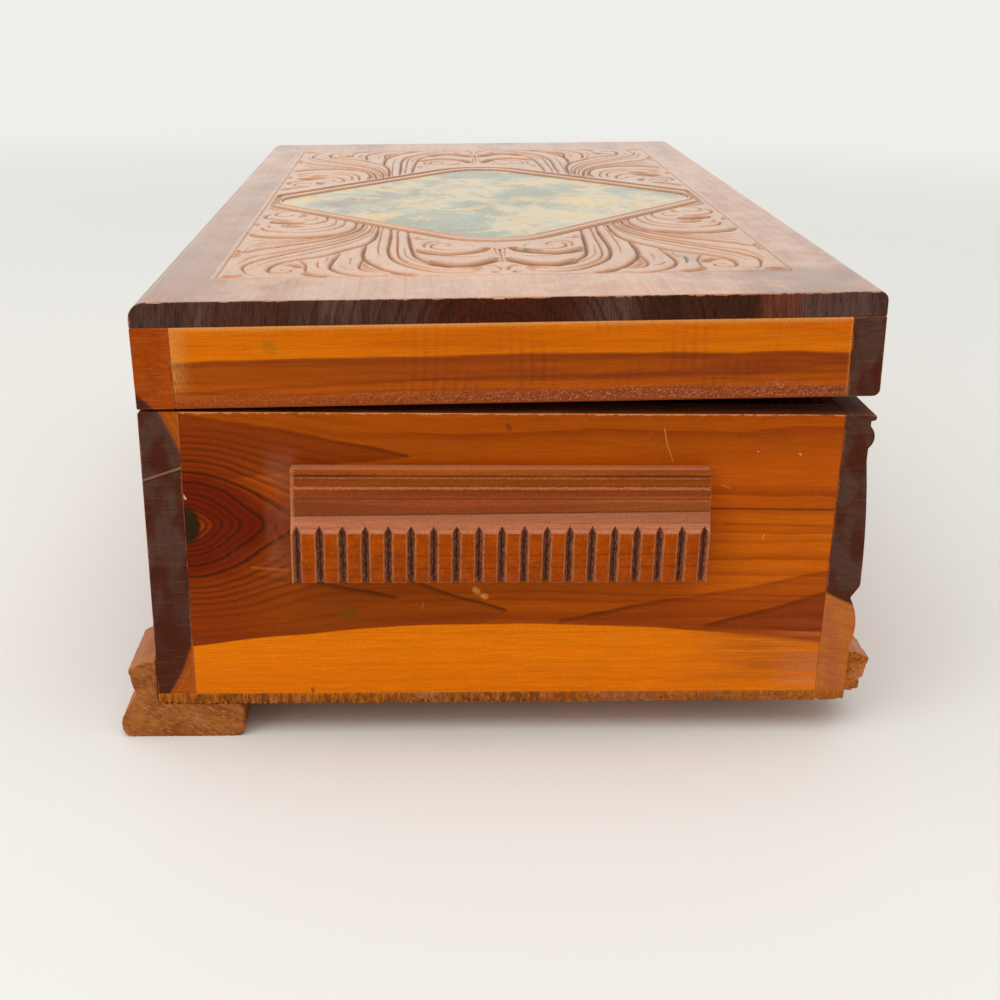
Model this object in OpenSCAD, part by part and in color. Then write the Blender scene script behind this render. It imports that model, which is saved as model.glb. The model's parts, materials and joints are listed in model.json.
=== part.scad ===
// Carved cedar jewelry box on bracket feet, with its hinged lid standing slightly open.
// All sizes are in millimetres. The origin is on the ground under the middle of the box.
// +X runs along the box, the front faces -Y, the hinges are at the back and +Z is up.

/* [Box] */
// Length of the box over the ends of its long boards
box_l = 273.8; // [180:0.1:400]
// Width of the box from its front face to its back face, lid and body alike
box_w = 152.4; // [110:0.1:240]
// Height of the four body boards
body_h = 64.5; // [48:0.1:140]
// Thickness of the plain back board
back_t = 8.2; // [7:0.1:14]
// Thickness of the front board at its flat lower edge
front_t = 6.7; // [6:0.1:12]
// Thickness of each end board, held between the long boards
end_t = 8; // [6:0.1:14]
// Thickness of the bottom panel nailed under the boards
panel_t = 2.6; // [2:0.1:6]
// Rounding of the back board's outer top edge
back_ease = 0.8; // [0.2:0.1:2]

/* [Front moulding] */
// Depth of the sunk ground behind the nose, bead and belly of the front board
front_sink = 1.1; // [0.5:0.1:2]
// Thickness of the half-round nose along the top edge
nose_h = 1.4; // [1:0.1:3]
// Radius of the bead under the nose
bead_r = 3.2; // [2:0.1:4]
// Depth from the top edge to the middle of the bead
bead_down = 5; // [4.5:0.1:8]
// Depth from the top edge to where the belly starts
belly_down = 10.2; // [9:0.1:14]
// Height of the belly's fullest line above the board's lower edge
belly_up = 25.5; // [24:0.1:30]
// How far the belly stands proud of the flat lower edge
belly_proud = 0.8; // [0.3:0.1:1.5]
// Height of the quirk between the belly and the lower roll
quirk_up = 22.6; // [21:0.1:24]
// Height of the lower roll's middle above the board's lower edge
roll_up = 15.6; // [14:0.1:17]
// Height of the flat band at the foot of the front board
plinth_h = 11; // [9:0.1:12]

/* [Lid] */
// Height of the lid's four rails
lid_rail_h = 16.8; // [12:0.1:40]
// Thickness of the lid's top board
lid_top_t = 5.2; // [4:0.1:10]
// Thickness of the lid's front rail
lid_front_t = 6.8; // [5:0.1:12]
// Thickness of the lid's back rail
lid_back_t = 7.7; // [7:0.1:14]
// Thickness of the lid's end rails
lid_end_t = 7.7; // [5:0.1:12]
// Rounding of the lid's top edge along the back
lid_round_back = 3.5; // [1:0.1:3.8]
// Rounding of the lid's top edge along the front
lid_round_front = 2; // [1:0.1:3.8]
// Rounding of the lid's lower front edge
lid_round_low = 1.5; // [0.5:0.1:3]
// Angle at which the lid's back edge binds and holds the lid ajar
lid_ajar = 1.4; // [0:0.1:5]
// How far the lid opens from its ajar rest, until its hinge lugs meet the back board
lid_open = 100; // [80:1:110]
// Gap at the seam between body and lid, when the lid is square on the body
seam_gap = 0.3; // [0.2:0.05:1]

/* [Picture] */
// Half length of the sharp lozenge that the picture's sides lie on
picture_a = 71; // [40:0.1:80]
// Half width of the same lozenge
picture_b = 62.8; // [35:0.1:66]
// Radius of the picture's blunt corners
picture_r = 13; // [4:0.1:16]
// How far the picture lies off the lid's middle, towards the left end
picture_off = 5; // [0:0.1:10]
// Depth of the recess that the picture is glued in
picture_sink = 0.6; // [0.4:0.1:1.5]
// Thickness of the varnished paper
picture_t = 0.3; // [0.2:0.05:0.4]

/* [End moulding] */
// Length of the fluted moulding on each end
mould_l = 87.1; // [50:0.1:100]
// Height of the end moulding
mould_h = 23.9; // [20:0.1:30]
// Height of the moulding's lower edge above the body boards' lower edge
mould_up = 29.4; // [14:0.1:34]
// How far the moulding's middle lies behind the middle of the box
mould_back = 2; // [0:0.1:5]
// How far the fluted band stands proud of the end board
band_p = 6.6; // [5:0.1:9]
// Height of the fluted band
band_h = 11; // [8:0.1:13]
// How far the middle fascia stands proud
fascia_p = 4.4; // [3:0.1:4.8]
// Height of the foot of the middle fascia
fascia_up = 18.5; // [16:0.1:19]
// How far the top fascia stands proud
cap_p = 3.3; // [2:0.1:4]
// Height of the foot of the top fascia
cap_up = 20.1; // [19.5:0.1:21]
// Depth of the fine line cut under the top edge
line_d = 0.4; // [0.2:0.1:0.8]
// Wanted pitch of the flutes, which is fitted to a whole number along the moulding
flute_pitch = 4.7; // [4:0.05:8]
// How far the first and the last flute lie from the moulding's ends
flute_in = 1.2; // [1.2:0.1:3]
// Radius of the cutter that makes the flutes
flute_r = 0.85; // [0.6:0.05:1.2]
// Depth of a flute
flute_d = 1.1; // [0.8:0.1:1.6]
// Height of the pointed tip of a flute above the fluted band
flute_tip = 1.9; // [1:0.1:3]

/* [Feet] */
// Length of each bracket foot along the box
foot_l = 20; // [10:0.5:30]
// How far the feet reach down below the bottom panel
foot_drop = 8.1; // [6.5:0.1:14]
// How far each foot's leg reaches up the board, from the panel's underside
leg_h = 10.8; // [9.8:0.1:13]
// How far the leg's top ridge stands out from the board
ridge_p = 6.4; // [5:0.1:8]
// How far the hollow under the ridge stands out
hollow_p = 5.2; // [3:0.1:5.6]
// How far the toe stands out from the board
toe_p = 8.5; // [7:0.1:12]
// How far the slab reaches in under the box from the board's outer face
heel_in = 18.5; // [12:0.1:30]
// Radius of the slab's lower corners
foot_r = 2.1; // [1:0.1:3]
// Whether the front left foot is broken off along its hollow
foot_broken = true; // [true, false]

/* [Hinges] */
// Length of each hinge
hinge_l = 25; // [18:0.5:40]
// Distance of each hinge's middle from the end of the box
hinge_in = 56; // [30:1:80]
// Thickness of the hinge leaves
leaf_t = 0.9; // [0.6:0.05:1.2]
// How far the leaves are let into the wood from the back face
leaf_d = 6.4; // [5:0.1:6.5]
// Outer radius of the knuckles
knuckle_r = 1.7; // [1.5:0.05:1.75]
// Distance of the pin's axis behind the back face
hinge_out = 2; // [1.9:0.05:3]
// Radius of the hinge pin
pin_r = 0.75; // [0.5:0.05:0.8]
// Gap between neighbouring knuckles
knuckle_gap = 0.2; // [0.1:0.05:0.5]
// Radial clearance of the lid's knuckle on the pin
turn_gap = 0.05; // [0.02:0.01:0.1]
// Reach of the stop lug from the pin's axis to the middle of its round tip
lug_reach = 5.5; // [4:0.1:5.9]
// Thickness of the stop lug
lug_t = 1; // [0.6:0.1:1.2]
// Gap left between the lug and the back board at full opening
stop_gap = 0.1; // [0.05:0.05:0.3]

/* [Fasteners] */
// Radius of a hinge screw's shank
screw_r = 0.75; // [0.5:0.05:0.9]
// Radius of a hinge screw's countersunk head
screw_head_r = 1.45; // [1.2:0.05:1.8]
// Length of a hinge screw
screw_l = 7; // [5:0.5:10]
// Distance between the two screws of a leaf
screw_span = 15; // [10:0.5:20]
// Radius of a brad's shank
brad_r = 0.5; // [0.4:0.05:0.8]
// Radius of a brad's head
brad_head_r = 0.9; // [0.7:0.05:1.4]
// Length of the brads through the front, back and rails
corner_brad_l = 20; // [14:1:26]
// Length of the brads through the bottom panel
panel_brad_l = 12; // [8:1:20]
// Length of the brads through the feet
foot_brad_l = 16; // [13:1:24]
// How far the brads' heads are punched below the surface
brad_set = 0.5; // [0.2:0.1:1]
// Clearance round screws, brads and pins in the holes that hold them
fit_gap = 0.02; // [0.01:0.01:0.05]

/* [Hidden] */

$fn = 48;
// Overshoot of cutting tools past the faces they cut
cut = 1;

// Levels, from the ground up
panel_z = foot_drop;
board_z = panel_z + panel_t;
body_top = board_z + body_h;
lid_z = body_top + seam_gap;
lid_top_z = lid_z + lid_rail_h;

// Faces, front to back
front_y = -box_w / 2;
back_y = box_w / 2;
front_in_y = front_y + front_t;
back_in_y = back_y - back_t;

// The hinge pins' common axis, halfway up the seam
axis_y = back_y + hinge_out;
axis_z = body_top + seam_gap / 2;
hinge_x = box_l / 2 - hinge_in;
knuckle_l = (hinge_l - 2 * knuckle_gap) / 3;
screw_y = back_y - leaf_d / 2;

// The lug meets the back board's face when the lid has turned by lid_ajar + lid_open
lug_meets = acos(-(hinge_out - lug_t / 2 - stop_gap) / lug_reach);
lug_drop = lug_meets - lid_ajar - lid_open;

// Brads: heights up the body boards, heights up the lid rails, and how far in from each end
body_brad_up = [6, body_h / 2, body_h - 14];
lid_brad_up = [lid_rail_h * 0.3, lid_rail_h * 0.7];
brad_head_h = 0.4;
brad_tip = 1.2;
// Front brads are punched to one depth, measured from the inside of the front board
front_brad_y = front_in_y - (front_t - front_sink) + brad_set;
panel_brad_rows = [front_in_y - front_t / 2, back_in_y + back_t / 2];
panel_brad_first = foot_l + 12;
panel_brad_count = 4;
end_brad_ys = [-box_w / 5, box_w / 5];

cedar_top = "#c28f78";
cedar_rail = "#c4661c";
cedar_end = "#a8480f";
cedar_dark = "#5b2c22";
cedar_foot = "#8f5a3c";
cedar_moulding = "#9a4a28";
brass = "#b8963e";
steel = "#8c8c8a";
picture_tint = "#b9bda0";

// A flat section, with its first axis along Y and its second along Z, run along X
module along_x(length) {
    translate([-length / 2, 0, 0])
        rotate([90, 0, 90])
            linear_extrude(length)
                children();
}

// What a corner of radius r loses: place its square corner on the corner to round off
module corner_loss(r) {
    difference() {
        translate([-cut, -cut])
            square([r + cut, r + cut]);
        translate([r, r])
            circle(r);
    }
}

// Turns what is drawn square on the body to the lid's ajar rest
module ajar() {
    translate([0, axis_y, axis_z])
        rotate([-lid_ajar, 0, 0])
            translate([0, -axis_y, -axis_z])
                children();
}

// Puts a left-hand piece at the right-hand end
module right_hand() {
    mirror([1, 0, 0])
        children();
}

// A headed brad driven along +Z from its head's face at the origin
module brad(length, gap = 0) {
    cylinder(r = brad_head_r + gap, h = brad_head_h + gap);
    cylinder(r = brad_r + gap, h = length - brad_tip);
    translate([0, 0, length - brad_tip])
        cylinder(r1 = brad_r + gap, r2 = 0.1 + gap, h = brad_tip + gap);
}

// The hole of a brad, with the punch mark above its head
module brad_hole(length, depth) {
    brad(length, fit_gap);
    translate([0, 0, -depth])
        cylinder(r = brad_head_r + fit_gap, h = depth + brad_head_h);
}

// A countersunk wood screw driven along -Z from its head's face at the origin
module screw_body(gap = 0) {
    head_h = screw_head_r - screw_r;
    translate([0, 0, -head_h])
        cylinder(r1 = screw_r + gap, r2 = screw_head_r + gap, h = head_h);
    translate([0, 0, -screw_l + 1.5])
        cylinder(r = screw_r + gap, h = screw_l - 1.5);
    translate([0, 0, -screw_l - gap])
        cylinder(r1 = 0.15 + gap, r2 = screw_r + gap, h = 1.5 + gap);
}

module screw() {
    slot_w = 0.35;
    slot_d = 0.3;
    difference() {
        screw_body();
        translate([-screw_head_r - cut, -slot_w / 2, -slot_d])
            cube([2 * (screw_head_r + cut), slot_w, slot_d + cut]);
    }
}

// Places of the hinge screws and brads, shared by the pieces and their holes
module at_hinges() {
    for (x = [-hinge_x, hinge_x])
        translate([x, 0, 0])
            children();
}

module at_screws() {
    for (x = [-screw_span / 2, screw_span / 2])
        translate([x, screw_y, 0])
            children();
}

module at_corner_brads(ups, thick, z0, head_y, turn) {
    for (side = [-1, 1])
        for (up = ups)
            translate([side * (box_l / 2 - thick / 2), head_y, z0 + up])
                rotate([turn, 0, 0])
                    children();
}

module at_front_brads() {
    at_corner_brads(body_brad_up, end_t, board_z, front_brad_y, -90)
        children();
}

module at_back_brads() {
    at_corner_brads(body_brad_up, end_t, board_z, back_y - brad_set, 90)
        children();
}

module at_lid_front_brads() {
    at_corner_brads(lid_brad_up, lid_end_t, lid_z, front_y + brad_set, -90)
        children();
}

module at_lid_back_brads() {
    at_corner_brads(lid_brad_up, lid_end_t, lid_z, back_y - brad_set, 90)
        children();
}

module at_panel_brads() {
    run = box_l - 2 * panel_brad_first;
    for (y = panel_brad_rows)
        for (i = [0 : panel_brad_count - 1])
            translate([-run / 2 + i * run / (panel_brad_count - 1), y, panel_z])
                children();
    for (side = [-1, 1])
        for (y = end_brad_ys)
            translate([side * (box_l / 2 - end_t / 2), y, panel_z])
                children();
}

// Two brads in each foot, up into the board: +1 or -1 says which end and which side
module at_foot_brads(end, side) {
    board = side > 0 ? back_t : front_t;
    for (along = [0.3, 0.7])
        translate([end * (box_l / 2 - along * foot_l), side * (box_w / 2 - board * 0.6), brad_set])
            children();
}

module at_all_foot_brads() {
    for (end = [-1, 1])
        for (side = [-1, 1])
            if (!(foot_broken && end < 0 && side < 0))
                at_foot_brads(end, side)
                    children();
}

// The front board's section: first axis outward from its inner face, second axis up
module front_section() {
    ground = front_t - front_sink;
    belly_top = body_h - belly_down;
    belly_rise = belly_top - belly_up;
    belly_full = front_sink + belly_proud;
    belly_r = (belly_rise * belly_rise + belly_full * belly_full) / (2 * belly_full);
    roll_rise = quirk_up - roll_up;
    roll_r = (roll_rise * roll_rise + belly_full * belly_full) / (2 * belly_full);
    nose_r = nose_h / 2;
    square([ground, body_h]);
    square([front_t, plinth_h]);
    translate([0, body_h - nose_h])
        square([front_t - nose_r, nose_h]);
    translate([front_t - nose_r, body_h - nose_r])
        circle(nose_r);
    translate([front_t - bead_r, body_h - bead_down])
        circle(bead_r);
    intersection() {
        translate([front_t + belly_proud - belly_r, belly_up])
            circle(belly_r, $fn = 360);
        translate([0, belly_up])
            square([front_t + belly_proud, belly_rise]);
    }
    polygon([[0, quirk_up], [ground, quirk_up], [front_t + belly_proud, belly_up], [0, belly_up]]);
    intersection() {
        translate([front_t + belly_proud - roll_r, roll_up])
            circle(roll_r, $fn = 120);
        translate([0, plinth_h - cut])
            square([front_t + belly_proud, quirk_up - plinth_h + cut]);
    }
}

module bottom_panel() {
    color(cedar_rail)
        difference() {
            translate([-box_l / 2, front_y, panel_z])
                cube([box_l, box_w, panel_t]);
            at_panel_brads()
                brad_hole(panel_brad_l, cut);
            at_all_foot_brads()
                brad_hole(foot_brad_l, brad_set);
        }
}

module front_board() {
    color(cedar_dark)
        difference() {
            along_x(box_l)
                translate([front_in_y, board_z])
                    mirror([1, 0])
                        front_section();
            at_front_brads()
                brad_hole(corner_brad_l, front_t);
            at_panel_brads()
                brad_hole(panel_brad_l, 0);
            at_all_foot_brads()
                brad_hole(foot_brad_l, 0);
        }
}

// The seat of a hinge leaf, cut into an edge of a board or rail; z0 is its floor
module leaf_mortise(z0, height) {
    at_hinges()
        translate([-hinge_l / 2, back_y - leaf_d, z0])
            cube([hinge_l, leaf_d + cut, height]);
}

module back_board() {
    color(cedar_dark)
        difference() {
            along_x(box_l)
                difference() {
                    translate([back_in_y, board_z])
                        square([back_t, body_h]);
                    translate([back_y, body_top])
                        rotate(180)
                            corner_loss(back_ease);
                }
            leaf_mortise(body_top - leaf_t, leaf_t + cut);
            at_hinges()
                at_screws()
                    translate([0, 0, body_top])
                        screw_body(fit_gap);
            at_back_brads()
                brad_hole(corner_brad_l, cut);
            at_panel_brads()
                brad_hole(panel_brad_l, 0);
            at_all_foot_brads()
                brad_hole(foot_brad_l, 0);
        }
}

module left_end_board() {
    color(cedar_end)
        difference() {
            translate([-box_l / 2, front_in_y, board_z])
                cube([end_t, back_in_y - front_in_y, body_h]);
            at_front_brads()
                brad_hole(corner_brad_l, 0);
            at_back_brads()
                brad_hole(corner_brad_l, 0);
            at_panel_brads()
                brad_hole(panel_brad_l, 0);
        }
}

module right_end_board() {
    right_hand()
        left_end_board();
}

// One flute: a round groove that runs up the band and ends in a pointed tip
module flute() {
    translate([flute_d - flute_r, 0, -cut])
        cylinder(r = flute_r, h = band_h + cut);
    translate([flute_d - flute_r, 0, band_h])
        cylinder(r1 = flute_r, r2 = 0.02, h = flute_tip);
}

// The end moulding's section: first axis outward from the end board, second axis up
module mould_section() {
    cove_p = band_p - fascia_p;
    cove_h = fascia_up - band_h;
    cove_r = (cove_p * cove_p + cove_h * cove_h) / (2 * cove_p);
    round_r = 0.6;
    line_up = mould_h - 1.4;
    difference() {
        union() {
            square([cap_p, mould_h]);
            square([fascia_p, cap_up]);
            square([band_p, band_h]);
            difference() {
                translate([0, band_h - cut])
                    square([band_p, cove_h + cut]);
                translate([fascia_p + cove_r, fascia_up])
                    circle(cove_r, $fn = 180);
            }
        }
        translate([cap_p, mould_h])
            rotate(180)
                corner_loss(round_r);
        translate([cap_p, line_up])
            circle(line_d);
    }
}

module left_end_moulding() {
    flute_span = mould_l - 2 * flute_in;
    flute_count = round(flute_span / flute_pitch);
    color(cedar_moulding)
        translate([-box_l / 2, mould_back - mould_l / 2, board_z + mould_up])
            difference() {
                rotate([90, 0, 180])
                    linear_extrude(mould_l)
                        mould_section();
                for (i = [0 : flute_count])
                    translate([-band_p, flute_in + i * flute_span / flute_count, 0])
                        flute();
            }
}

module right_end_moulding() {
    right_hand()
        left_end_moulding();
}

// A bracket foot's section: first axis outward from the board's face, second axis up
// from the panel's underside, with the leg against the board and the slab under the panel
module foot_section() {
    ridge_z = leg_h - 2.4;
    shoulder_p = ridge_p - 2.9;
    hollow_z = 2.6;
    hollow_r = 1.2;
    toe_top = -foot_drop / 2;
    heel_slope = 1.4;
    difference() {
        polygon([[0, 0], [0, leg_h], [shoulder_p, leg_h - 0.6], [ridge_p, ridge_z],
                 [hollow_p, hollow_z], [toe_p, toe_top], [toe_p, -foot_drop],
                 [-heel_in, -foot_drop], [-heel_in, -heel_slope], [heel_slope - heel_in, 0]]);
        translate([hollow_p + hollow_r * 0.8, hollow_z + 0.2])
            circle(hollow_r);
        translate([toe_p, -foot_drop])
            rotate(90)
                corner_loss(foot_r);
        translate([-heel_in, -foot_drop])
            corner_loss(foot_r);
    }
}

// The foot at the left end of the back
module whole_foot() {
    translate([-box_l / 2 + foot_l / 2, back_y, panel_z])
        along_x(foot_l)
            foot_section();
}

// What is gone from a broken foot: the slab, and the leg below a slanting, chipped fracture
module fracture() {
    break_z = 0.1;
    chip = 3.4;
    near_loss = 3;
    translate([-box_l / 2 - cut, back_y - heel_in - cut, panel_z - foot_drop - cut])
        cube([foot_l + 2 * cut, heel_in + toe_p + 2 * cut, foot_drop + break_z + cut]);
    translate([-box_l / 2 - cut, back_y + hollow_p - 0.6, panel_z - cut])
        cube([foot_l + 2 * cut, toe_p, chip + cut]);
    translate([-box_l / 2 - near_loss, back_y - cut, panel_z - cut])
        rotate([0, 0, -8])
            cube([2 * near_loss, 2 * toe_p, leg_h + 2 * cut]);
    translate([-box_l / 2 + near_loss, back_y, panel_z + break_z])
        rotate([0, -24, 0])
            translate([0, -cut, -2 * chip])
                cube([foot_l / 2, toe_p + 2 * cut, 2 * chip]);
    translate([-box_l / 2 + foot_l, back_y + hollow_p, panel_z + chip])
        rotate([0, 0, 35])
            translate([-chip, 0, -chip])
                cube([2 * chip, toe_p, leg_h]);
}

module drilled_foot(end, side) {
    difference() {
        children();
        at_foot_brads(end, side)
            brad_hole(foot_brad_l, brad_set + cut);
    }
}

module back_left_foot() {
    color(cedar_foot)
        drilled_foot(-1, 1)
            whole_foot();
}

module back_right_foot() {
    color(cedar_foot)
        drilled_foot(1, 1)
            right_hand()
                whole_foot();
}

module front_right_foot() {
    color(cedar_foot)
        drilled_foot(1, -1)
            rotate([0, 0, 180])
                whole_foot();
}

module front_left_foot() {
    color(cedar_foot)
        if (foot_broken)
            mirror([0, 1, 0])
                difference() {
                    whole_foot();
                    fracture();
                }
        else
            drilled_foot(-1, -1)
                mirror([0, 1, 0])
                    whole_foot();
}

// One leaf as the body carries it, its knuckles on the outer two thirds of the pin
module body_leaf() {
    difference() {
        union() {
            translate([-hinge_l / 2, back_y - leaf_d, body_top - leaf_t])
                cube([hinge_l, leaf_d + hinge_out, leaf_t]);
            translate([-hinge_l / 2, axis_y, axis_z])
                rotate([0, 90, 0])
                    cylinder(r = knuckle_r, h = hinge_l);
        }
        translate([-knuckle_l / 2 - knuckle_gap, back_y, axis_z - 2 * knuckle_r])
            cube([knuckle_l + 2 * knuckle_gap, 2 * knuckle_r + hinge_out, 4 * knuckle_r]);
        translate([-hinge_l / 2 - cut, axis_y, axis_z])
            rotate([0, 90, 0])
                cylinder(r = pin_r + fit_gap, h = hinge_l + 2 * cut);
        at_screws()
            translate([0, 0, body_top])
                screw_body(fit_gap);
    }
}

// The lug's section points backward from the pin's axis and has a round tip
module lug_section() {
    tip_r = lug_t / 2;
    difference() {
        translate([0, -tip_r])
            square([lug_reach + tip_r, lug_t]);
        translate([lug_reach + tip_r, -tip_r])
            rotate(90)
                corner_loss(tip_r);
        translate([lug_reach + tip_r, tip_r])
            rotate(180)
                corner_loss(tip_r);
    }
}

// The lid's knuckle in section, with its neck to the leaf and the stop lug behind it
module lid_knuckle_section() {
    difference() {
        union() {
            translate([back_y - leaf_d / 2, lid_z])
                square([leaf_d / 2 + hinge_out, leaf_t]);
            translate([axis_y, axis_z]) {
                circle(knuckle_r);
                rotate(-lug_drop)
                    lug_section();
            }
        }
        translate([axis_y, axis_z])
            circle(pin_r + turn_gap);
    }
}

// The other leaf as the lid carries it
module lid_leaf() {
    difference() {
        union() {
            translate([-hinge_l / 2, back_y - leaf_d, lid_z])
                cube([hinge_l, leaf_d, leaf_t]);
            along_x(knuckle_l)
                lid_knuckle_section();
        }
        at_screws()
            translate([0, 0, lid_z])
                mirror([0, 0, 1])
                    screw_body(fit_gap);
    }
}

module hinge_pin() {
    translate([-hinge_l / 2, axis_y, axis_z])
        rotate([0, 90, 0])
            cylinder(r = pin_r, h = hinge_l);
}

module left_hinge_body_leaf() {
    color(brass)
        translate([-hinge_x, 0, 0])
            body_leaf();
}

module right_hinge_body_leaf() {
    color(brass)
        translate([hinge_x, 0, 0])
            body_leaf();
}

module left_hinge_lid_leaf() {
    color(brass)
        ajar()
            translate([-hinge_x, 0, 0])
                lid_leaf();
}

module right_hinge_lid_leaf() {
    color(brass)
        ajar()
            translate([hinge_x, 0, 0])
                lid_leaf();
}

module left_hinge_pin() {
    color(steel)
        translate([-hinge_x, 0, 0])
            hinge_pin();
}

module right_hinge_pin() {
    color(steel)
        translate([hinge_x, 0, 0])
            hinge_pin();
}

module body_hinge_screws() {
    color(brass)
        at_hinges()
            at_screws()
                translate([0, 0, body_top])
                    screw();
}

module lid_hinge_screws() {
    color(brass)
        ajar()
            at_hinges()
                at_screws()
                    translate([0, 0, lid_z])
                        mirror([0, 0, 1])
                            screw();
}

module corner_brads() {
    color(steel) {
        at_front_brads()
            brad(corner_brad_l);
        at_back_brads()
            brad(corner_brad_l);
    }
}

module panel_brads() {
    color(steel)
        at_panel_brads()
            brad(panel_brad_l);
}

module foot_brads() {
    color(steel)
        at_all_foot_brads()
            brad(foot_brad_l);
}

module lid_brads() {
    color(steel)
        ajar() {
            at_lid_front_brads()
                brad(corner_brad_l);
            at_lid_back_brads()
                brad(corner_brad_l);
        }
}

// A lozenge with blunt round corners; a and b are the half diagonals of the sharp one
module lozenge(a, b, r) {
    slope = atan2(b, a);
    centre_x = a - r / sin(slope);
    centre_y = b - r / cos(slope);
    touch_x = r * sin(slope);
    touch_y = r * cos(slope);
    polygon([[centre_x + touch_x, touch_y], [touch_x, centre_y + touch_y],
             [-touch_x, centre_y + touch_y], [-centre_x - touch_x, touch_y],
             [-centre_x - touch_x, -touch_y], [-touch_x, -centre_y - touch_y],
             [touch_x, -centre_y - touch_y], [centre_x + touch_x, -touch_y]]);
    for (side = [-1, 1]) {
        translate([side * centre_x, 0])
            circle(r, $fn = 96);
        translate([0, side * centre_y])
            circle(r, $fn = 96);
    }
}

module lid_top() {
    color(cedar_top)
        ajar()
            difference() {
                along_x(box_l)
                    difference() {
                        translate([front_y, lid_top_z])
                            square([box_w, lid_top_t]);
                        translate([back_y, lid_top_z + lid_top_t])
                            rotate(180)
                                corner_loss(lid_round_back);
                        translate([front_y, lid_top_z + lid_top_t])
                            rotate(-90)
                                corner_loss(lid_round_front);
                    }
                translate([-picture_off, 0, lid_top_z + lid_top_t - picture_sink])
                    linear_extrude(picture_sink + cut)
                        lozenge(picture_a, picture_b, picture_r);
            }
}

module lid_picture() {
    color(picture_tint)
        ajar()
            translate([-picture_off, 0, lid_top_z + lid_top_t - picture_sink])
                linear_extrude(picture_t)
                    lozenge(picture_a - fit_gap, picture_b - fit_gap, picture_r - fit_gap);
}

module lid_front_rail() {
    color(cedar_dark)
        ajar()
            difference() {
                along_x(box_l)
                    difference() {
                        translate([front_y, lid_z])
                            square([lid_front_t, lid_rail_h]);
                        translate([front_y, lid_z])
                            corner_loss(lid_round_low);
                    }
                at_lid_front_brads()
                    brad_hole(corner_brad_l, cut);
            }
}

module lid_back_rail() {
    color(cedar_rail)
        ajar()
            difference() {
                translate([-box_l / 2, back_y - lid_back_t, lid_z])
                    cube([box_l, lid_back_t, lid_rail_h]);
                leaf_mortise(lid_z - cut, leaf_t + cut);
                at_hinges()
                    at_screws()
                        translate([0, 0, lid_z])
                            mirror([0, 0, 1])
                                screw_body(fit_gap);
                at_lid_back_brads()
                    brad_hole(corner_brad_l, cut);
            }
}

// The left end rail, square on the body
module end_rail() {
    depth = box_w - lid_front_t - lid_back_t;
    difference() {
        translate([-box_l / 2, front_y + lid_front_t, lid_z])
            cube([lid_end_t, depth, lid_rail_h]);
        at_lid_front_brads()
            brad_hole(corner_brad_l, 0);
        at_lid_back_brads()
            brad_hole(corner_brad_l, 0);
    }
}

module lid_left_rail() {
    color(cedar_rail)
        ajar()
            end_rail();
}

module lid_right_rail() {
    color(cedar_rail)
        ajar()
            right_hand()
                end_rail();
}

bottom_panel();
front_board();
back_board();
left_end_board();
right_end_board();
left_end_moulding();
right_end_moulding();
front_left_foot();
front_right_foot();
back_left_foot();
back_right_foot();
left_hinge_body_leaf();
right_hinge_body_leaf();
left_hinge_pin();
right_hinge_pin();
body_hinge_screws();
corner_brads();
panel_brads();
foot_brads();
lid_top();
lid_picture();
lid_front_rail();
lid_back_rail();
lid_left_rail();
lid_right_rail();
left_hinge_lid_leaf();
right_hinge_lid_leaf();
lid_hinge_screws();
lid_brads();
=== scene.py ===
# Carved cedar jewelry box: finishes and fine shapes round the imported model.
import json
import math
import random
import bpy
from mathutils import Matrix, Quaternion, Vector


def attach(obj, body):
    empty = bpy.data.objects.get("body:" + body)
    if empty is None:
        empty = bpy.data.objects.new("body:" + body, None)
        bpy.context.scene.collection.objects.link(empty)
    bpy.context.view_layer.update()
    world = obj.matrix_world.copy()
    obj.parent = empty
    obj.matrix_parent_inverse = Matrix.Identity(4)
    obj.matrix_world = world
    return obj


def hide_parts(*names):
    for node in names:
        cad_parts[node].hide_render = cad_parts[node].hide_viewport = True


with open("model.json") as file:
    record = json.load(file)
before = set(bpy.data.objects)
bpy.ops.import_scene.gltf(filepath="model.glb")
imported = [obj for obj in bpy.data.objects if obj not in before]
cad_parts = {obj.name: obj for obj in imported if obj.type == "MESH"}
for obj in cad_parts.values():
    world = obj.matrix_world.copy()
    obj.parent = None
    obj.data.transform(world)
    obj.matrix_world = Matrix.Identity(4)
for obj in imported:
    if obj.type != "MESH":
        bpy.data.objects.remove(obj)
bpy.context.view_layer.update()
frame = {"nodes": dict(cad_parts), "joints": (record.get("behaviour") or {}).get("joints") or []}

mm = 0.001
scene = bpy.context.scene

# The lid rests a little open, turned about its hinge pins; "square" is the lid shut flat on the body
hingePin = Vector(frame["joints"][0]["pos_m"])
ajar = math.radians(1.4)
toSquare = (Matrix.Translation(hingePin) @ Matrix.Rotation(ajar, 4, "X")
            @ Matrix.Translation(-hingePin))
toAjar = toSquare.inverted()


def nodeBox(nodeName, square=False):
    # Low and high corner of a CAD piece in millimetres
    turn = toSquare if square else Matrix()
    corners = [turn @ v.co / mm for v in frame["nodes"][nodeName].data.vertices]
    low = Vector([min(c[i] for c in corners) for i in range(3)])
    high = Vector([max(c[i] for c in corners) for i in range(3)])
    return low, high


lidLow, lidHigh = nodeBox("lid_top", square=True)
halfLength = lidHigh.x
print("stage: model loaded")


# Small tools for making and finishing pieces

def choose(*pieces):
    bpy.ops.object.select_all(action="DESELECT")
    for piece in pieces:
        piece.select_set(True)
    bpy.context.view_layer.objects.active = pieces[0]


def useModifier(piece, kind, **settings):
    choose(piece)
    made = piece.modifiers.new(kind.lower(), kind)
    for name, value in settings.items():
        setattr(made, name, value)
    bpy.ops.object.modifier_apply(modifier=made.name)


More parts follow.
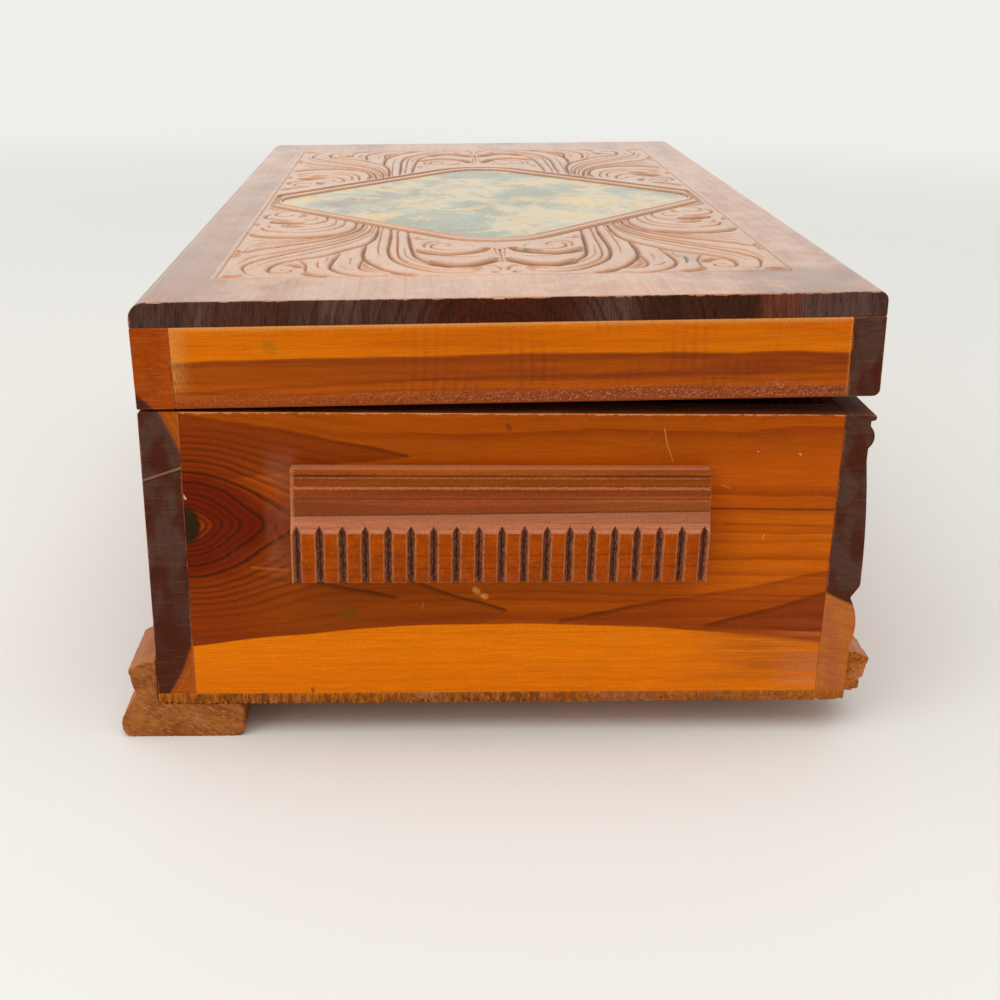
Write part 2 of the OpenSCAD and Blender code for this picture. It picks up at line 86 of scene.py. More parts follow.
def mergeDoubles(piece, turnOut=False):
    choose(piece)
    bpy.ops.object.mode_set(mode="EDIT")
    bpy.ops.mesh.select_all(action="SELECT")
    bpy.ops.mesh.remove_doubles(threshold=0.002 * mm)
    if turnOut:
        bpy.ops.mesh.normals_make_consistent(inside=False)
    bpy.ops.object.mode_set(mode="OBJECT")


def smoothBy(piece, degrees):
    choose(piece)
    bpy.ops.object.shade_smooth_by_angle(angle=math.radians(degrees))


def copyOfNode(nodeName, pieceName):
    # A fresh piece with the CAD piece's mesh, its loose triangles joined into clean faces
    source = frame["nodes"][nodeName]
    made = bpy.data.objects.new(pieceName, source.data.copy())
    made.data.materials.clear()
    for key in list(made.keys()):
        del made[key]
    for key in list(made.data.keys()):
        del made.data[key]
    scene.collection.objects.link(made)
    mergeDoubles(made)
    bpy.ops.object.mode_set(mode="EDIT")
    bpy.ops.mesh.select_all(action="SELECT")
    bpy.ops.mesh.dissolve_limited(angle_limit=math.radians(1))
    bpy.ops.object.mode_set(mode="OBJECT")
    return made


def cutAway(piece, cutters):
    # Takes the cutters out of the piece, all at once, and removes them
    held = bpy.data.collections.new("cutters")
    scene.collection.children.link(held)
    for cutter in cutters:
        scene.collection.objects.unlink(cutter)
        held.objects.link(cutter)
    useModifier(piece, "BOOLEAN", operation="DIFFERENCE", solver="MANIFOLD", operand_type="COLLECTION",
                collection=held)
    for cutter in cutters:
        bpy.data.objects.remove(cutter)
    bpy.data.collections.remove(held)


def place(piece, body, slotName, *nodeNames):
    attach(piece, body)
    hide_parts(*nodeNames)


def polyCurve(name, points, radii=None, closed=False):
    data = bpy.data.curves.new(name, "CURVE")
    data.dimensions = "3D" if radii else "2D"
    line = data.splines.new("POLY")
    line.points.add(len(points) - 1)
    for i, point in enumerate(points):
        line.points[i].co = (point[0], point[1], 0, 1)
        if radii:
            line.points[i].radius = radii[i]
    line.use_cyclic_u = closed
    made = bpy.data.objects.new(name, data)
    scene.collection.objects.link(made)
    return made


def smoothPath(points, step):
    # A smooth line through a few chosen points, walked in even steps
    ends = [2 * points[0] - points[1]] + points + [2 * points[-1] - points[-2]]
    fine = []
    for i in range(len(points) - 1):
        a, b, c, d = ends[i:i + 4]
        for k in range(10):
            t = k / 10
            fine.append(0.5 * (2 * b + (c - a) * t + (2 * a - 5 * b + 4 * c - d) * t * t
                               + (3 * b - 3 * c + d - a) * t ** 3))
    fine.append(points[-1])
    total = sum((q - p).length for p, q in zip(fine, fine[1:]))
    count = max(4, round(total / step))
    walked = 0
    result = [fine[0]]
    for p, q in zip(fine, fine[1:]):
        length = (q - p).length
        while len(result) < count and len(result) * total / count <= walked + length:
            result.append(p.lerp(q, (len(result) * total / count - walked) / length))
        walked += length
    result.append(fine[-1])
    return result


# The carved lid top. One quarter of the carving is drawn in millimetres, x from the end of the lid
# and v from its middle line, and it is cut four times with small differences, as by hand.

carving = dict(
    nearBorder=22.3,       # plain border at the left end
    farBorder=24.6,        # and at the right end
    sideBorder=14.2,       # and along the front and the back
    pictureMiddle=-5,      # the picture lies off the lid's middle, towards the left end
    bandReach=(79.6, 70.8),  # where the broad groove round the picture meets the two middle lines
    stem=range(36, 75, 2),   # stations of the groove on the middle line, from the end of the lid
    pictureTop=0.45,       # the picture's upper face lies less deep than this
    step=1.6,              # distance between stations along a cut
    drift=0.14,            # how far a cut may stray from the drawing
    seed=7,
)
vTool = [(-1.7, 0.3), (-1.7, 0), (-1.15, -0.07), (-0.7, -0.24), (-0.3, -0.7), (0, -0.92),
         (0.3, -0.7), (0.7, -0.24), (1.15, -0.07), (1.7, 0), (1.7, 0.3)]
gougeTool = [(-1.15, 0.25), (-1.15, 0), (-0.8, -0.24), (-0.42, -0.44), (0, -0.5),
             (0.42, -0.44), (0.8, -0.24), (1.15, 0), (1.15, 0.25)]
bandTool = [(-1, 0.2), (-1, 0), (-0.7, -0.3), (-0.25, -0.52), (0.1, -0.55),
            (0.55, -0.5), (0.9, -0.36), (1, 0), (1, 0.2)]

# Cuts between the strands, with the half width of each
strandCuts = [
    # volute plume along the side border, its strands and its rolled end
    ([(54.8, 61.2), (51.6, 59.6), (53.8, 58.3), (56.9, 55.7), (58.3, 53.1), (60.7, 50.5), (62.4, 47.8),
      (65.7, 43.8), (70, 40), (74.5, 37.2), (80, 34.9), (88, 33.6), (100, 33)], 0.95),
    ([(37.4, 59.2), (43.9, 58), (47.8, 56.1), (49.7, 53.6), (52.4, 50.7), (56.2, 47.3), (60.5, 43.4),
      (66.5, 38.6), (73, 35.2), (80, 33.2), (88, 32.3), (100, 32)], 0.6),
    ([(25, 54.5), (27.1, 55.9), (31.6, 57.1), (34.6, 57.8), (37.3, 57.5), (39.9, 56.5), (43.7, 54.3),
      (46.7, 51.9), (49.8, 49.5), (52.9, 46.9), (57, 43), (62.6, 38.5), (69, 34.9), (76, 32.4),
      (84, 31.2), (100, 31)], 0.8),
    ([(35.2, 54.9), (40, 52.9), (44, 50), (48, 46.3), (53, 42.2), (58.6, 38), (65, 34.4), (72, 31.9),
      (80, 30.6), (98, 30.2)], 0.5),
    ([(30.6, 46.7), (28.8, 46.5), (27.6, 47.9), (27.7, 49.9), (29.4, 51.3), (32, 51.8), (34.9, 51.5),
      (37.2, 50.7), (39.4, 49.6), (41.2, 47.6), (43, 45.7), (44.8, 42.9), (48.2, 39.5), (52.1, 37.2),
      (56.1, 34.7), (60.2, 32.1), (66.4, 30.3), (72.9, 29.6), (82, 29.3), (98, 29.2)], 0.95),
    ([(41, 45.3), (36.5, 43.9), (32, 43.7), (28.4, 43.2)], 0.6),
    # border plume
    ([(48.8, 37.1), (44.7, 37.9), (40, 38.4), (34.8, 38.6), (30.9, 37.7), (27.1, 35.8), (24.4, 33.2),
      (22.9, 30.5), (22.7, 27.6), (23.9, 25.4)], 0.8),
    ([(39.5, 41.4), (35.5, 41.2), (31.9, 40.3)], 0.5),
    ([(46.5, 39.8), (42.5, 39.7), (38.7, 40.2)], 0.4),
    ([(33.8, 36.2), (31.2, 34.6), (30, 32.9)], 0.45),
    ([(43.5, 34.2), (39.5, 34.4), (36.4, 34)], 0.4),
    ([(46, 31.6), (39, 31.9), (34.7, 32.2), (31.4, 31.7), (28.5, 30), (27.4, 27.4), (27, 25.2)], 0.75),
    # long plume, from its rolled end beside the middle line
    ([(62, 31.4), (57.3, 31.7), (50.8, 31.9), (44.5, 31.5), (38.9, 30.2), (33.8, 28.2), (29.3, 26),
      (26.9, 23.8), (25.2, 21.2), (23.4, 18.6)], 0.95),
    ([(96, 27.6), (84, 28.2), (77.8, 28.4), (67, 28.5), (59, 28.6), (50.6, 28.3), (44.8, 27.6)], 0.5),
    ([(95, 25.2), (82.7, 26), (73.9, 25.9), (63.4, 26), (55.5, 26.1), (49.1, 25.8), (44, 25.1),
      (38.4, 23.7), (33.8, 21.4), (30.3, 19), (27.3, 16.4), (25.8, 13.9), (25, 11.4), (25, 8.6),
      (26, 6.6), (27.4, 5.6)], 0.85),
    ([(91, 23.4), (77.5, 24.3), (66.7, 24.1), (57.9, 24), (50.3, 23.8), (43.9, 23.2), (38.8, 21.9),
      (35.4, 20.3), (31.5, 17.6), (29, 14.8), (27.7, 12), (27.4, 9.6)], 0.6),
    ([(55, 22.4), (46.6, 21.9), (41.2, 20.5), (37, 18.4), (33.2, 15.8), (30.6, 13)], 0.4),
    ([(86, 21.6), (75.1, 21.7), (67.9, 21.4), (59.7, 21), (52.6, 20.5), (46.8, 19.9), (42.3, 18.8),
      (38.5, 17.1), (35.1, 15.3), (32.4, 13.4), (30.6, 11.4), (29.8, 9)], 0.85),
    ([(28.4, 9.4), (30.4, 7.6), (32.2, 5.2), (32.6, 2.8), (30.8, 1.1), (27, 0.7)], 0.6),
    # inner edge's companion line, the crescent and the small scroll by the lozenge
    ([(44.6, 13.8), (43.2, 10.6), (42.7, 7.6), (43.7, 5)], 0.45),
    ([(63, 13.6), (62.4, 16), (60.6, 17.5), (58.1, 17.9), (54.8, 17.2)], 0.6),
    ([(52.3, 7.4), (51.4, 10.4), (52, 13.3), (54, 15.3), (57.2, 16.1), (59.6, 15.4), (60.5, 13.5),
      (59.6, 11.8), (57.7, 11.5), (56.7, 12.8)], 0.6),
    ([(60, 8.2), (57.6, 6.4), (54.8, 6)], 0.45),
    ([(74, 1.4), (59, 1.3), (50, 1.2), (43.5, 0.8)], 0.45),
    # leaf lobe beside the volute plume, and its veins
    ([(58.8, 58.6), (61.2, 56.3), (63.6, 52), (66.6, 46.8), (70.4, 42.2), (74.6, 38.9), (80, 36.6),
      (88, 34.9), (100, 34.2)], 0.6),
    ([(62.4, 58.4), (64.9, 55.8), (66.4, 52.2), (68.4, 47.5), (71, 43.8)], 0.55),
    ([(67.4, 59.3), (68.2, 55.6), (69, 51.8)], 0.45),
    # great scroll
    ([(72.4, 42.8), (75.9, 39.2), (79.5, 36.9), (85.3, 35.6), (92, 35.6), (100, 36.4)], 0.85),
    ([(100, 38.4), (91.7, 38.5), (86.6, 39.3), (82.7, 41.2), (79.7, 44.3), (78.4, 48), (78.2, 51.6)], 0.65),
    ([(98.5, 41), (92.5, 40.9), (88, 41.6), (84.8, 43.8), (82.8, 47), (82, 50.4)], 0.55),
    ([(103.6, 44.8), (99.5, 43.2), (96.1, 43.4), (92.4, 45), (90.6, 47.4), (90.8, 50)], 0.75),
    ([(101.3, 46.4), (98.4, 46.2), (96.6, 48), (97.8, 49.9)], 0.55),
    ([(86, 59), (82.1, 57.6), (80, 54.7), (78.8, 52)], 0.7),
    ([(89.6, 57.8), (86.6, 57.4), (84.2, 55.2)], 0.5),
    # second scroll in the narrow end of the field
    ([(107.4, 59), (104.4, 60.3), (101.2, 59.4), (98.9, 56.9), (97.3, 53.9), (96.9, 51.3)], 0.75),
    ([(110.4, 54.8), (109.6, 57.4), (106.4, 57.9), (104, 56.2), (104.4, 53.7), (106.6, 52.9)], 0.55),
]
# Gouge cuts down to the ground of the carving
groundCuts = [
    # corners and notches down to the ground along the borders
    ([(23.7, 60.8), (24.8, 58.8), (24.4, 56.2)], 1.3),
    ([(53, 61.1), (49.4, 60.8), (45.6, 61.4)], 0.8),
    ([(27.7, 43.4), (25.3, 42.7), (24.1, 40.6), (23.2, 37.6)], 1.3),
    ([(36.6, 49.2), (36.3, 47.2), (34.8, 45.3), (32.4, 45)], 1.3),
    ([(30.8, 48.9), (30.3, 47.9)], 0.7),
    ([(37.6, 31), (33.4, 30.5), (30, 28.8), (28.4, 26.9)], 0.9),
    ([(27.2, 25), (25.2, 23.5), (24, 21.7), (23.1, 19.2)], 1.25),
    # between the crescents beside the middle line
    ([(39.6, 16.4), (35.5, 14.7), (33.8, 12.5), (33.3, 10), (34.1, 7.2), (36.2, 4.5), (38.6, 2.6),
      (42, 1.5)], 2.2),
    ([(53.6, 19.4), (49.8, 17.7), (47.4, 15.1), (46.6, 12.3), (47.2, 9.6), (48.6, 6.8), (50.9, 4.5),
      (54.3, 3), (59, 2.4)], 1.9),
    ([(62.4, 11.4), (62.3, 9), (61.8, 6.8), (60.6, 4.8)], 1.2),
    ([(69.6, 19.2), (66.4, 19.3), (66, 16.8)], 0.9),
    ([(28.2, 6.9), (29.6, 6), (29.4, 4.5)], 1.1),
    ([(24.2, 2.6), (26.4, 1.9)], 1.0),
    # under and inside the great scroll
    ([(76.8, 60.9), (73.6, 58.6), (71.9, 55), (71.2, 50.6), (71.4, 46.4), (73, 42.6), (76, 39.6)], 1.7),
    ([(95.6, 57.8), (93.6, 55), (92.4, 52), (93, 48.9)], 2.3),
    ([(89, 54.4), (87, 51.4), (87.4, 48.4)], 1.6),
    ([(107.4, 50.4), (104.6, 49.9), (101.8, 51.2)], 1.3),
    ([(92.6, 60.9), (88.4, 60.6)], 0.8),
    ([(119, 60.8), (115.4, 58.8), (112.6, 55.6), (110.4, 52.6)], 1.2),
]
# Grooves round the picture: half length and half width of the lozenge, radius of its corners,
# half width of the cut, tool
lozengeGrooves = [(72.2, 64.3, 13.6, 0.6, vTool), (77.9, 69.3, 17, 1.5, bandTool)]
# Nicks in the lid's top edge at the left end: place across, length, depth
edgeNicks = [(57, 3.2, 0.55), (49, 2.2, 0.4), (31, 2.6, 0.45), (2.5, 4.6, 0.8), (-24, 1.8, 0.35),
             (-52, 3.4, 0.5), (-63, 2, 0.4), (70, 2.4, 0.6)]


def lozenge(a, b, r, clip):
    # Blunt lozenge round the picture, cut off square where it would run into the side border
    slope = math.atan2(b, a)
    points = []
    for side, (cx, cy) in enumerate([(a - r / math.sin(slope), 0), (0, b - r / math.cos(slope)),
                                     (-a + r / math.sin(slope), 0), (0, -b + r / math.cos(slope))]):
        spread = math.pi / 2 - slope if side % 2 == 0 else slope
        for k in range(-4, 5):
            angle = side * math.pi / 2 + spread * k / 4
            y = cy + r * math.sin(angle)
            points.append(Vector((carving["pictureMiddle"] + cx + r * math.cos(angle),
                                  max(-clip, min(clip, y)))))
    return points


def beyondBand(point):
    # 0 at the middle of the broad groove round the picture, more farther out
    along, across = carving["bandReach"]
    return abs(point.x - carving["pictureMiddle"]) / along + abs(point.y) / across - 1


def cutStations(points, halfWidth):
    # A tool goes in shallow, deepens, and comes out shallow
    path = smoothPath([Vector(p) for p in points], carving["step"])
    radii = []
    for i in range(len(path)):
        along = i / (len(path) - 1)
        into = min(1, min(along, 1 - along) / 0.2)
        radii.append(halfWidth * (0.35 + 0.65 * math.sin(into * math.pi / 2)))
    return path, radii


def sweepCut(path, radii, tool, closed=False):
    profile = polyCurve("tool", list(reversed(tool)), closed=True)
    made = polyCurve("cut", path, radii, closed)
    made.data.twist_mode = "Z_UP"
    made.data.bevel_mode = "OBJECT"
    made.data.bevel_object = profile
    made.data.use_fill_caps = not closed
    choose(made)
    bpy.ops.object.convert(target="MESH")
    bpy.data.objects.remove(profile)
    made.data.transform(Matrix.Scale(mm, 4) @ Matrix.Translation((0, 0, lidHigh.z)))
    mergeDoubles(made, turnOut=True)
    return made


def pickEdges(piece, wanted):
    # Goes into edit mode with just the wanted edges selected
    choose(piece)
    bpy.ops.object.mode_set(mode="EDIT")
    bpy.ops.mesh.select_mode(type="EDGE")
    bpy.ops.mesh.select_all(action="DESELECT")
    bpy.ops.object.mode_set(mode="OBJECT")
    for edge in piece.data.edges:
        ends = [piece.data.vertices[i].co / mm for i in edge.vertices]
        edge.select = wanted(edge, *ends)
    bpy.ops.object.mode_set(mode="EDIT")


def edgeRound(piece, y, z, radius):
    # Rounds the one long edge that lies at this y and z
    pickEdges(piece, lambda edge, a, b: all(abs(e.y - y) < 0.01 and abs(e.z - z) < 0.01 for e in (a, b)))
    bpy.ops.mesh.bevel(offset=radius * mm, segments=8)
    bpy.ops.object.mode_set(mode="OBJECT")


def makeLidTop():
    random.seed(carving["seed"])
    bpy.ops.object.select_all(action="DESELECT")
    bpy.ops.mesh.primitive_cube_add(size=mm, location=(lidHigh + lidLow) / 2 * mm,
                                    scale=lidHigh - lidLow)
    lid = bpy.context.active_object
    choose(lid)
    bpy.ops.object.transform_apply(location=True, rotation=True, scale=True)
    lid.name = "carved_lid_top"
    edgeRound(lid, lidHigh.y, lidHigh.z, 3.5)
    edgeRound(lid, lidLow.y, lidHigh.z, 2)
    useModifier(lid, "BEVEL", width=0.3 * mm, segments=2, limit_method="ANGLE",
                angle_limit=math.radians(50))

    made = []
    quarter = [(*cutStations(points, width), vTool) for points, width in strandCuts]
    quarter += [(*cutStations(points, width), gougeTool) for points, width in groundCuts]
    for endSide in (-1, 1):
        inset = 0 if endSide < 0 else carving["farBorder"] - carving["nearBorder"]
        for frontSide in (1, -1):
            for path, radii, tool in quarter:
                stray = Vector((random.uniform(-1, 1), random.uniform(-1, 1))) * carving["drift"]
                press = random.uniform(0.92, 1.08)
                turned = [Vector((endSide * (halfLength - inset - p.x - stray.x),
                                  frontSide * (p.y + stray.y))) for p in path]
                kept = [i for i, p in enumerate(turned) if beyondBand(p) > 0]
                if len(kept) > 2:
                    shallow = [0.5 + 0.5 * min(1, beyondBand(turned[i]) / 0.1) for i in kept]
                    made.append(sweepCut([turned[i] for i in kept],
                                         [radii[i] * press * k for i, k in zip(kept, shallow)], tool))
        # groove on the middle line, between the paired stems
        stem = [Vector((endSide * (halfLength - inset - x), 0)) for x in carving["stem"]]
        stem = [p for p in stem if beyondBand(p) > 0]
        made.append(sweepCut(stem, [0.45] * len(stem), vTool))
    fieldLeft = -halfLength + carving["nearBorder"]
    fieldRight = halfLength - carving["farBorder"]
    fieldSide = lidHigh.y - carving["sideBorder"]
    frameLine = []
    for cx, cy, start in ((fieldRight, fieldSide, 0), (fieldLeft, fieldSide, 90),
                          (fieldLeft, -fieldSide, 180), (fieldRight, -fieldSide, 270)):
        for k in range(3):
            angle = math.radians(start + 45 * k)
            frameLine.append(Vector((cx - math.copysign(0.8, cx) + 0.8 * math.cos(angle),
                                     cy - math.copysign(0.8, cy) + 0.8 * math.sin(angle))))
    made.append(sweepCut(frameLine, [0.4] * len(frameLine), vTool, closed=True))
    # the picture's raised frame stands between a fine groove and a broad one
    for a, b, r, width, tool in lozengeGrooves:
        clip = fieldSide - width - 0.3
        band = lozenge(a, b, r, clip)
        widths = [width * (0.55 if abs(p.y) > clip - 0.01 else 1) for p in band]
        made.append(sweepCut(band, widths, tool, closed=True))
    for y, length, depth in edgeNicks:
        nick = [Vector((-halfLength + 0.05, y - length / 2)), Vector((-halfLength, y - length * 0.1)),
                Vector((-halfLength, y + length * 0.2)), Vector((-halfLength + 0.05, y + length / 2))]
        made.append(sweepCut(nick, [0.1, depth, depth * 0.8, 0.1], gougeTool))

    cutAway(lid, made)
    # seat of the picture
    recess = copyOfNode("lid_picture", "recess")
    recess.data.transform(toSquare)
    middle = Vector((carving["pictureMiddle"] * mm, 0, 0))
    widen = Matrix.Diagonal((1.003, 1.003, 1, 1))
    recess.data.transform(Matrix.Translation(middle) @ widen @ Matrix.Translation(-middle))
    for vertex in recess.data.vertices:
        if vertex.co.z > (lidHigh.z - carving["pictureTop"]) * mm:
            vertex.co.z = (lidHigh.z + 1) * mm
    useModifier(lid, "BOOLEAN", operation="DIFFERENCE", solver="MANIFOLD", object=recess)
    bpy.data.objects.remove(recess)
    print("carved lid top:", sum(len(p.vertices) - 2 for p in lid.data.polygons), "triangles")
    lid.data.transform(toAjar)
    smoothBy(lid, 24)
    useModifier(lid, "WEIGHTED_NORMAL", keep_sharp=True)
    return lid


# Shader arithmetic

class Flow:
    # A value on its way through a shader; sums and products of flows make the nodes for them
    def __init__(self, socket):
        self.socket = socket

    def __add__(self, other):
        return calc("ADD", self, other)

    def __radd__(self, other):
        return calc("ADD", other, self)

    def __sub__(self, other):
        return calc("SUBTRACT", self, other)

    def __rsub__(self, other):
        return calc("SUBTRACT", other, self)

    def __mul__(self, other):
        return calc("MULTIPLY", self, other)

    def __rmul__(self, other):
        return calc("MULTIPLY", other, self)

    def __truediv__(self, other):
        return calc("DIVIDE", self, other)

    def __rtruediv__(self, other):
        return calc("DIVIDE", other, self)

    def __abs__(self):
        return calc("ABSOLUTE", self)

    def vector(self, operation, *values):
        result = "Value" if operation in ("LENGTH", "DOT_PRODUCT") else "Vector"
        return grow("VectorMath", dict(enumerate((self, *values))), result, operation=operation)

    def scaled(self, factor):
        return grow("VectorMath", {0: self, "Scale": factor}, operation="SCALE")

    def rise(self, low, high, outLow=0, outHigh=1):
        # Smooth step from outLow at low to outHigh at high
        return grow("MapRange", {0: self, 1: low, 2: high, 3: outLow, 4: outHigh},
                    interpolation_type="SMOOTHSTEP")

    def noise(self, stretch, detail=2, rough=0.5, bend=0):
        return grow("TexNoise", {"Vector": self.vector("MULTIPLY", stretch), "Scale": 1, "Detail": detail,
                                 "Roughness": rough, "Distortion": bend})

    def cells(self, stretch, spread=1):
        return grow("TexVoronoi", {"Vector": self.vector("MULTIPLY", stretch), "Scale": 1,
                                   "Randomness": spread})

    def parts(self):
        return [Flow(part) for part in put(self.socket.id_data, "SeparateXYZ", {0: self}).outputs]


def feed(socket, value):
    value = getattr(value, "socket", value)
    if isinstance(value, bpy.types.NodeSocket):
        socket.id_data.links.new(value, socket)
    else:
        socket.default_value = value


def put(tree, kind, feeds, **settings):
    made = tree.nodes.new("ShaderNode" + kind)
    for name, value in settings.items():
        setattr(made, name, value)
    for socket, value in feeds.items():
        feed(made.inputs[socket], value)
    return made


def treeOf(feeds):
    return next(value.socket.id_data for value in feeds.values() if isinstance(value, Flow))


def grow(kind, feeds, result=0, **settings):
    # A new node in the tree of the flows that feed it, and what comes out of it
    return Flow(put(treeOf(feeds), kind, feeds, **settings).outputs[result])


def calc(operation, *values, clamp=False):
    return grow("Math", dict(enumerate(values)), operation=operation, use_clamp=clamp)


def highest(a, b):
    return calc("MAXIMUM", a, b)


def lowest(a, b):
    return calc("MINIMUM", a, b)


def join(x, y, z):
    return grow("CombineXYZ", {0: x, 1: y, 2: z})


def mix(factor, a, b, blend="MIX"):
    # A plain triple is a colour for paint
    colours = [paint(*value) if isinstance(value, tuple) else value for value in (a, b)]
    return grow("Mix", {0: factor, 6: colours[0], 7: colours[1]}, 2, data_type="RGBA", blend_type=blend)


def dim(colour, shade, share=1):
    return mix(share, colour, join(shade, shade, shade), "MULTIPLY")


def paint(red, green, blue):
    # A colour as an eye or a paint card gives it, 0 to 255, in the linear values that shaders use
    def linear(part):
        part = part / 255
        return part / 12.92 if part <= 0.04045 else ((part + 0.055) / 1.055) ** 2.4
    return (linear(red), linear(green), linear(blue), 1)


def makeGroup(name, inputs, outputs, recipe):
    # inputs: name to default, a triple for a vector; the recipe turns them into the outputs
    tree = bpy.data.node_groups.new(name, "ShaderNodeTree")
    for label, value in inputs.items():
        kind = "NodeSocketVector" if isinstance(value, tuple) else "NodeSocketFloat"
        tree.interface.new_socket(label, in_out="INPUT", socket_type=kind).default_value = value
    for label in outputs:
        tree.interface.new_socket(label, in_out="OUTPUT", socket_type="NodeSocketFloat")
    start = tree.nodes.new("NodeGroupInput").outputs
    end = tree.nodes.new("NodeGroupOutput").inputs
    for label, result in zip(outputs, recipe(*[Flow(start[label]) for label in inputs])):
        feed(end[label], result)


def group(name, **feeds):
    made = put(treeOf(feeds), "Group", feeds, node_tree=bpy.data.node_groups[name])
    return {output.name: Flow(output) for output in made.outputs}


def oldVarnish(where, density):
    return group("old varnish", Vector=where, Density=density)


def cedarRings(where, pith, pitch, wobble, stretch=0.012):
    return group("cedar rings", Vector=where.vector("SUBTRACT", pith), Pitch=pitch, Wobble=wobble,
                 Stretch=stretch)


def bareInside(where, low, high):
    return group("bare inside", Vector=where, Low=low, High=high)["Mask"]


def markAt(where, start, end, width, soft, broken):
    return group("mark", Vector=where, Start=start, End=end, Width=width, Soft=soft, Broken=broken)["Mask"]


def ringRecipe(place, pitch, wobble, stretch):
    # Growth rings round a pith that runs along X through the origin, in millimetres
    x, y, z = place.parts()
    slow = join(x * stretch, y * 0.045, z * 0.045)
    sway = slow.noise((1, 1, 1), 3) - 0.5
    radius = join(0, y, z).vector("LENGTH") + sway * wobble
    uneven = join(radius, 0, 0).noise((0.16, 1, 1), 1)
    count = radius / pitch + uneven * 2.6
    turn = calc("FRACT", count)
    lines = turn.rise(0.35, 0.9) * turn.rise(1, 0.93)
    strength = join(count, 0, 0).noise((0.8, 1, 1), 0).rise(0.3, 0.65, 0.25, 1)
    return (lines * strength, place.noise((0.012, 0.11, 0.11), 3), place.noise((0.16, 5, 5), 3, 0.6),
            radius)


def fromCorners(place, low, high):
    # Distances from the low and the high corner of a box, along each axis
    below = place.vector("SUBTRACT", low).parts()
    above = high.vector("SUBTRACT", place).parts()
    return zip(below, above)


def wearRecipe(place, low, high, width):
    # Worn arrises of a box-shaped piece: distance to the nearest edge from its low and high corner
    a, b, c = (abs(lowest(below, above)) for below, above in fromCorners(place, low, high))
    least = lowest(a, lowest(b, c))
    most = highest(a, highest(b, c))
    middle = a + (b + c) - (least + most)
    patchy = place.noise((0.09, 0.09, 0.2), 3, 0.6).rise(0.38, 0.62, 0.15, 1)
    ragged = place.noise((1.1, 1.1, 1.6), 2, 0.6)
    reach = width * patchy * ragged.rise(0.2, 0.8, 0.2, 2)
    return ((middle / reach).rise(1.15, 0.75),)


def markRecipe(place, start, end, width, soft, broken):
    # A scratch, chip or stain: soft capsule between two places, with a broken outline
    along = end.vector("SUBTRACT", start)
    away = place.vector("SUBTRACT", start)
    share = calc("DIVIDE", away.vector("DOT_PRODUCT", along), along.vector("DOT_PRODUCT", along) + 0.0001,
                 clamp=True)
    distance = away.vector("SUBTRACT", along.scaled(share)).vector("LENGTH")
    grain = place.scaled(1.6 / width).noise((1, 1, 1), 2, 0.6)
    ratio = distance / width + (grain - 0.5) * broken * 2.4
    return (1 - ratio.rise(1 - soft, 1 + soft),)


def tongueRecipe(across, up, tipAcross, tipUp, side, upSlope, downSlope):
    # Tongue of darker grain: pointed at its tip, opening towards one side, with a dark upper rim
    reach = (across - tipAcross) * side
    blunt = calc("SQRT", highest(reach, 0))
    under = tipUp + (reach * upSlope + blunt * 0.22) - up
    over = up - (tipUp - (reach * downSlope + blunt * 0.22))
    begun = reach.rise(0, 1.5)
    fade = reach.rise(6, 34, 1, 0.35)
    return (under.rise(-0.1, 0.5) * over.rise(-0.1, 0.5) * begun,
            under.rise(-0.25, 0.1) * under.rise(1.3, 0.2) * begun * fade)


def insideRecipe(place, low, high):
    # Bare wood within the box and within the lid: 1 inside the given corners
    mask = 1
    for below, above in fromCorners(place, low, high):
        mask = below.rise(-0.05, 0.05) * above.rise(-0.05, 0.05) * mask
    return (mask,)


def varnishRecipe(place, density):
    # What years do to a varnished surface: dull patches, fine scratches, and pale specks of wear
    thin = place.cells((0.5, 0.9, 2.4), 1)
    line = abs(place.noise((1.6, 1.1, 0.4), 3, 0.55, 1.4) - 0.5).rise(0.006, 0)
    some = place.noise((0.13, 0.11, 0.15), 1).rise(0.56, 0.66)
    rare = place.noise((0.21, 0.21, 0.21), 1).rise(0.62, 0.74)
    limit = density * 0.16
    return (place.noise((0.05, 0.05, 0.05), 4, 0.6).rise(0.35, 0.7), line * some,
            thin.rise(limit, limit * 0.5) * rare, place.noise((1.9, 1.9, 3.4), 3, 0.7))


corner = (0, 0, 0)
farCorner = (1, 1, 1)
makeGroup("cedar rings", {"Vector": corner, "Pitch": 2.2, "Wobble": 2, "Stretch": 0.012},
          ["Lines", "Tone", "Fibre", "Radius"], ringRecipe)
makeGroup("edge wear", {"Vector": corner, "Low": corner, "High": farCorner, "Width": 0.6}, ["Wear"],
          wearRecipe)
makeGroup("mark", {"Vector": corner, "Start": corner, "End": corner, "Width": 0.5, "Soft": 0.4,
                   "Broken": 0.5}, ["Mask"], markRecipe)
makeGroup("grain tongue", {"Across": 0, "Up": 0, "TipAcross": 0, "TipUp": 0, "Side": 1,
                           "UpSlope": 0.2, "DownSlope": 0.1}, ["Fill", "Rim"], tongueRecipe)
makeGroup("bare inside", {"Vector": corner, "Low": corner, "High": farCorner}, ["Mask"], insideRecipe)
makeGroup("old varnish", {"Vector": corner, "Density": 0.5}, ["Dull", "Scratches", "Specks", "Pores"],
          varnishRecipe)


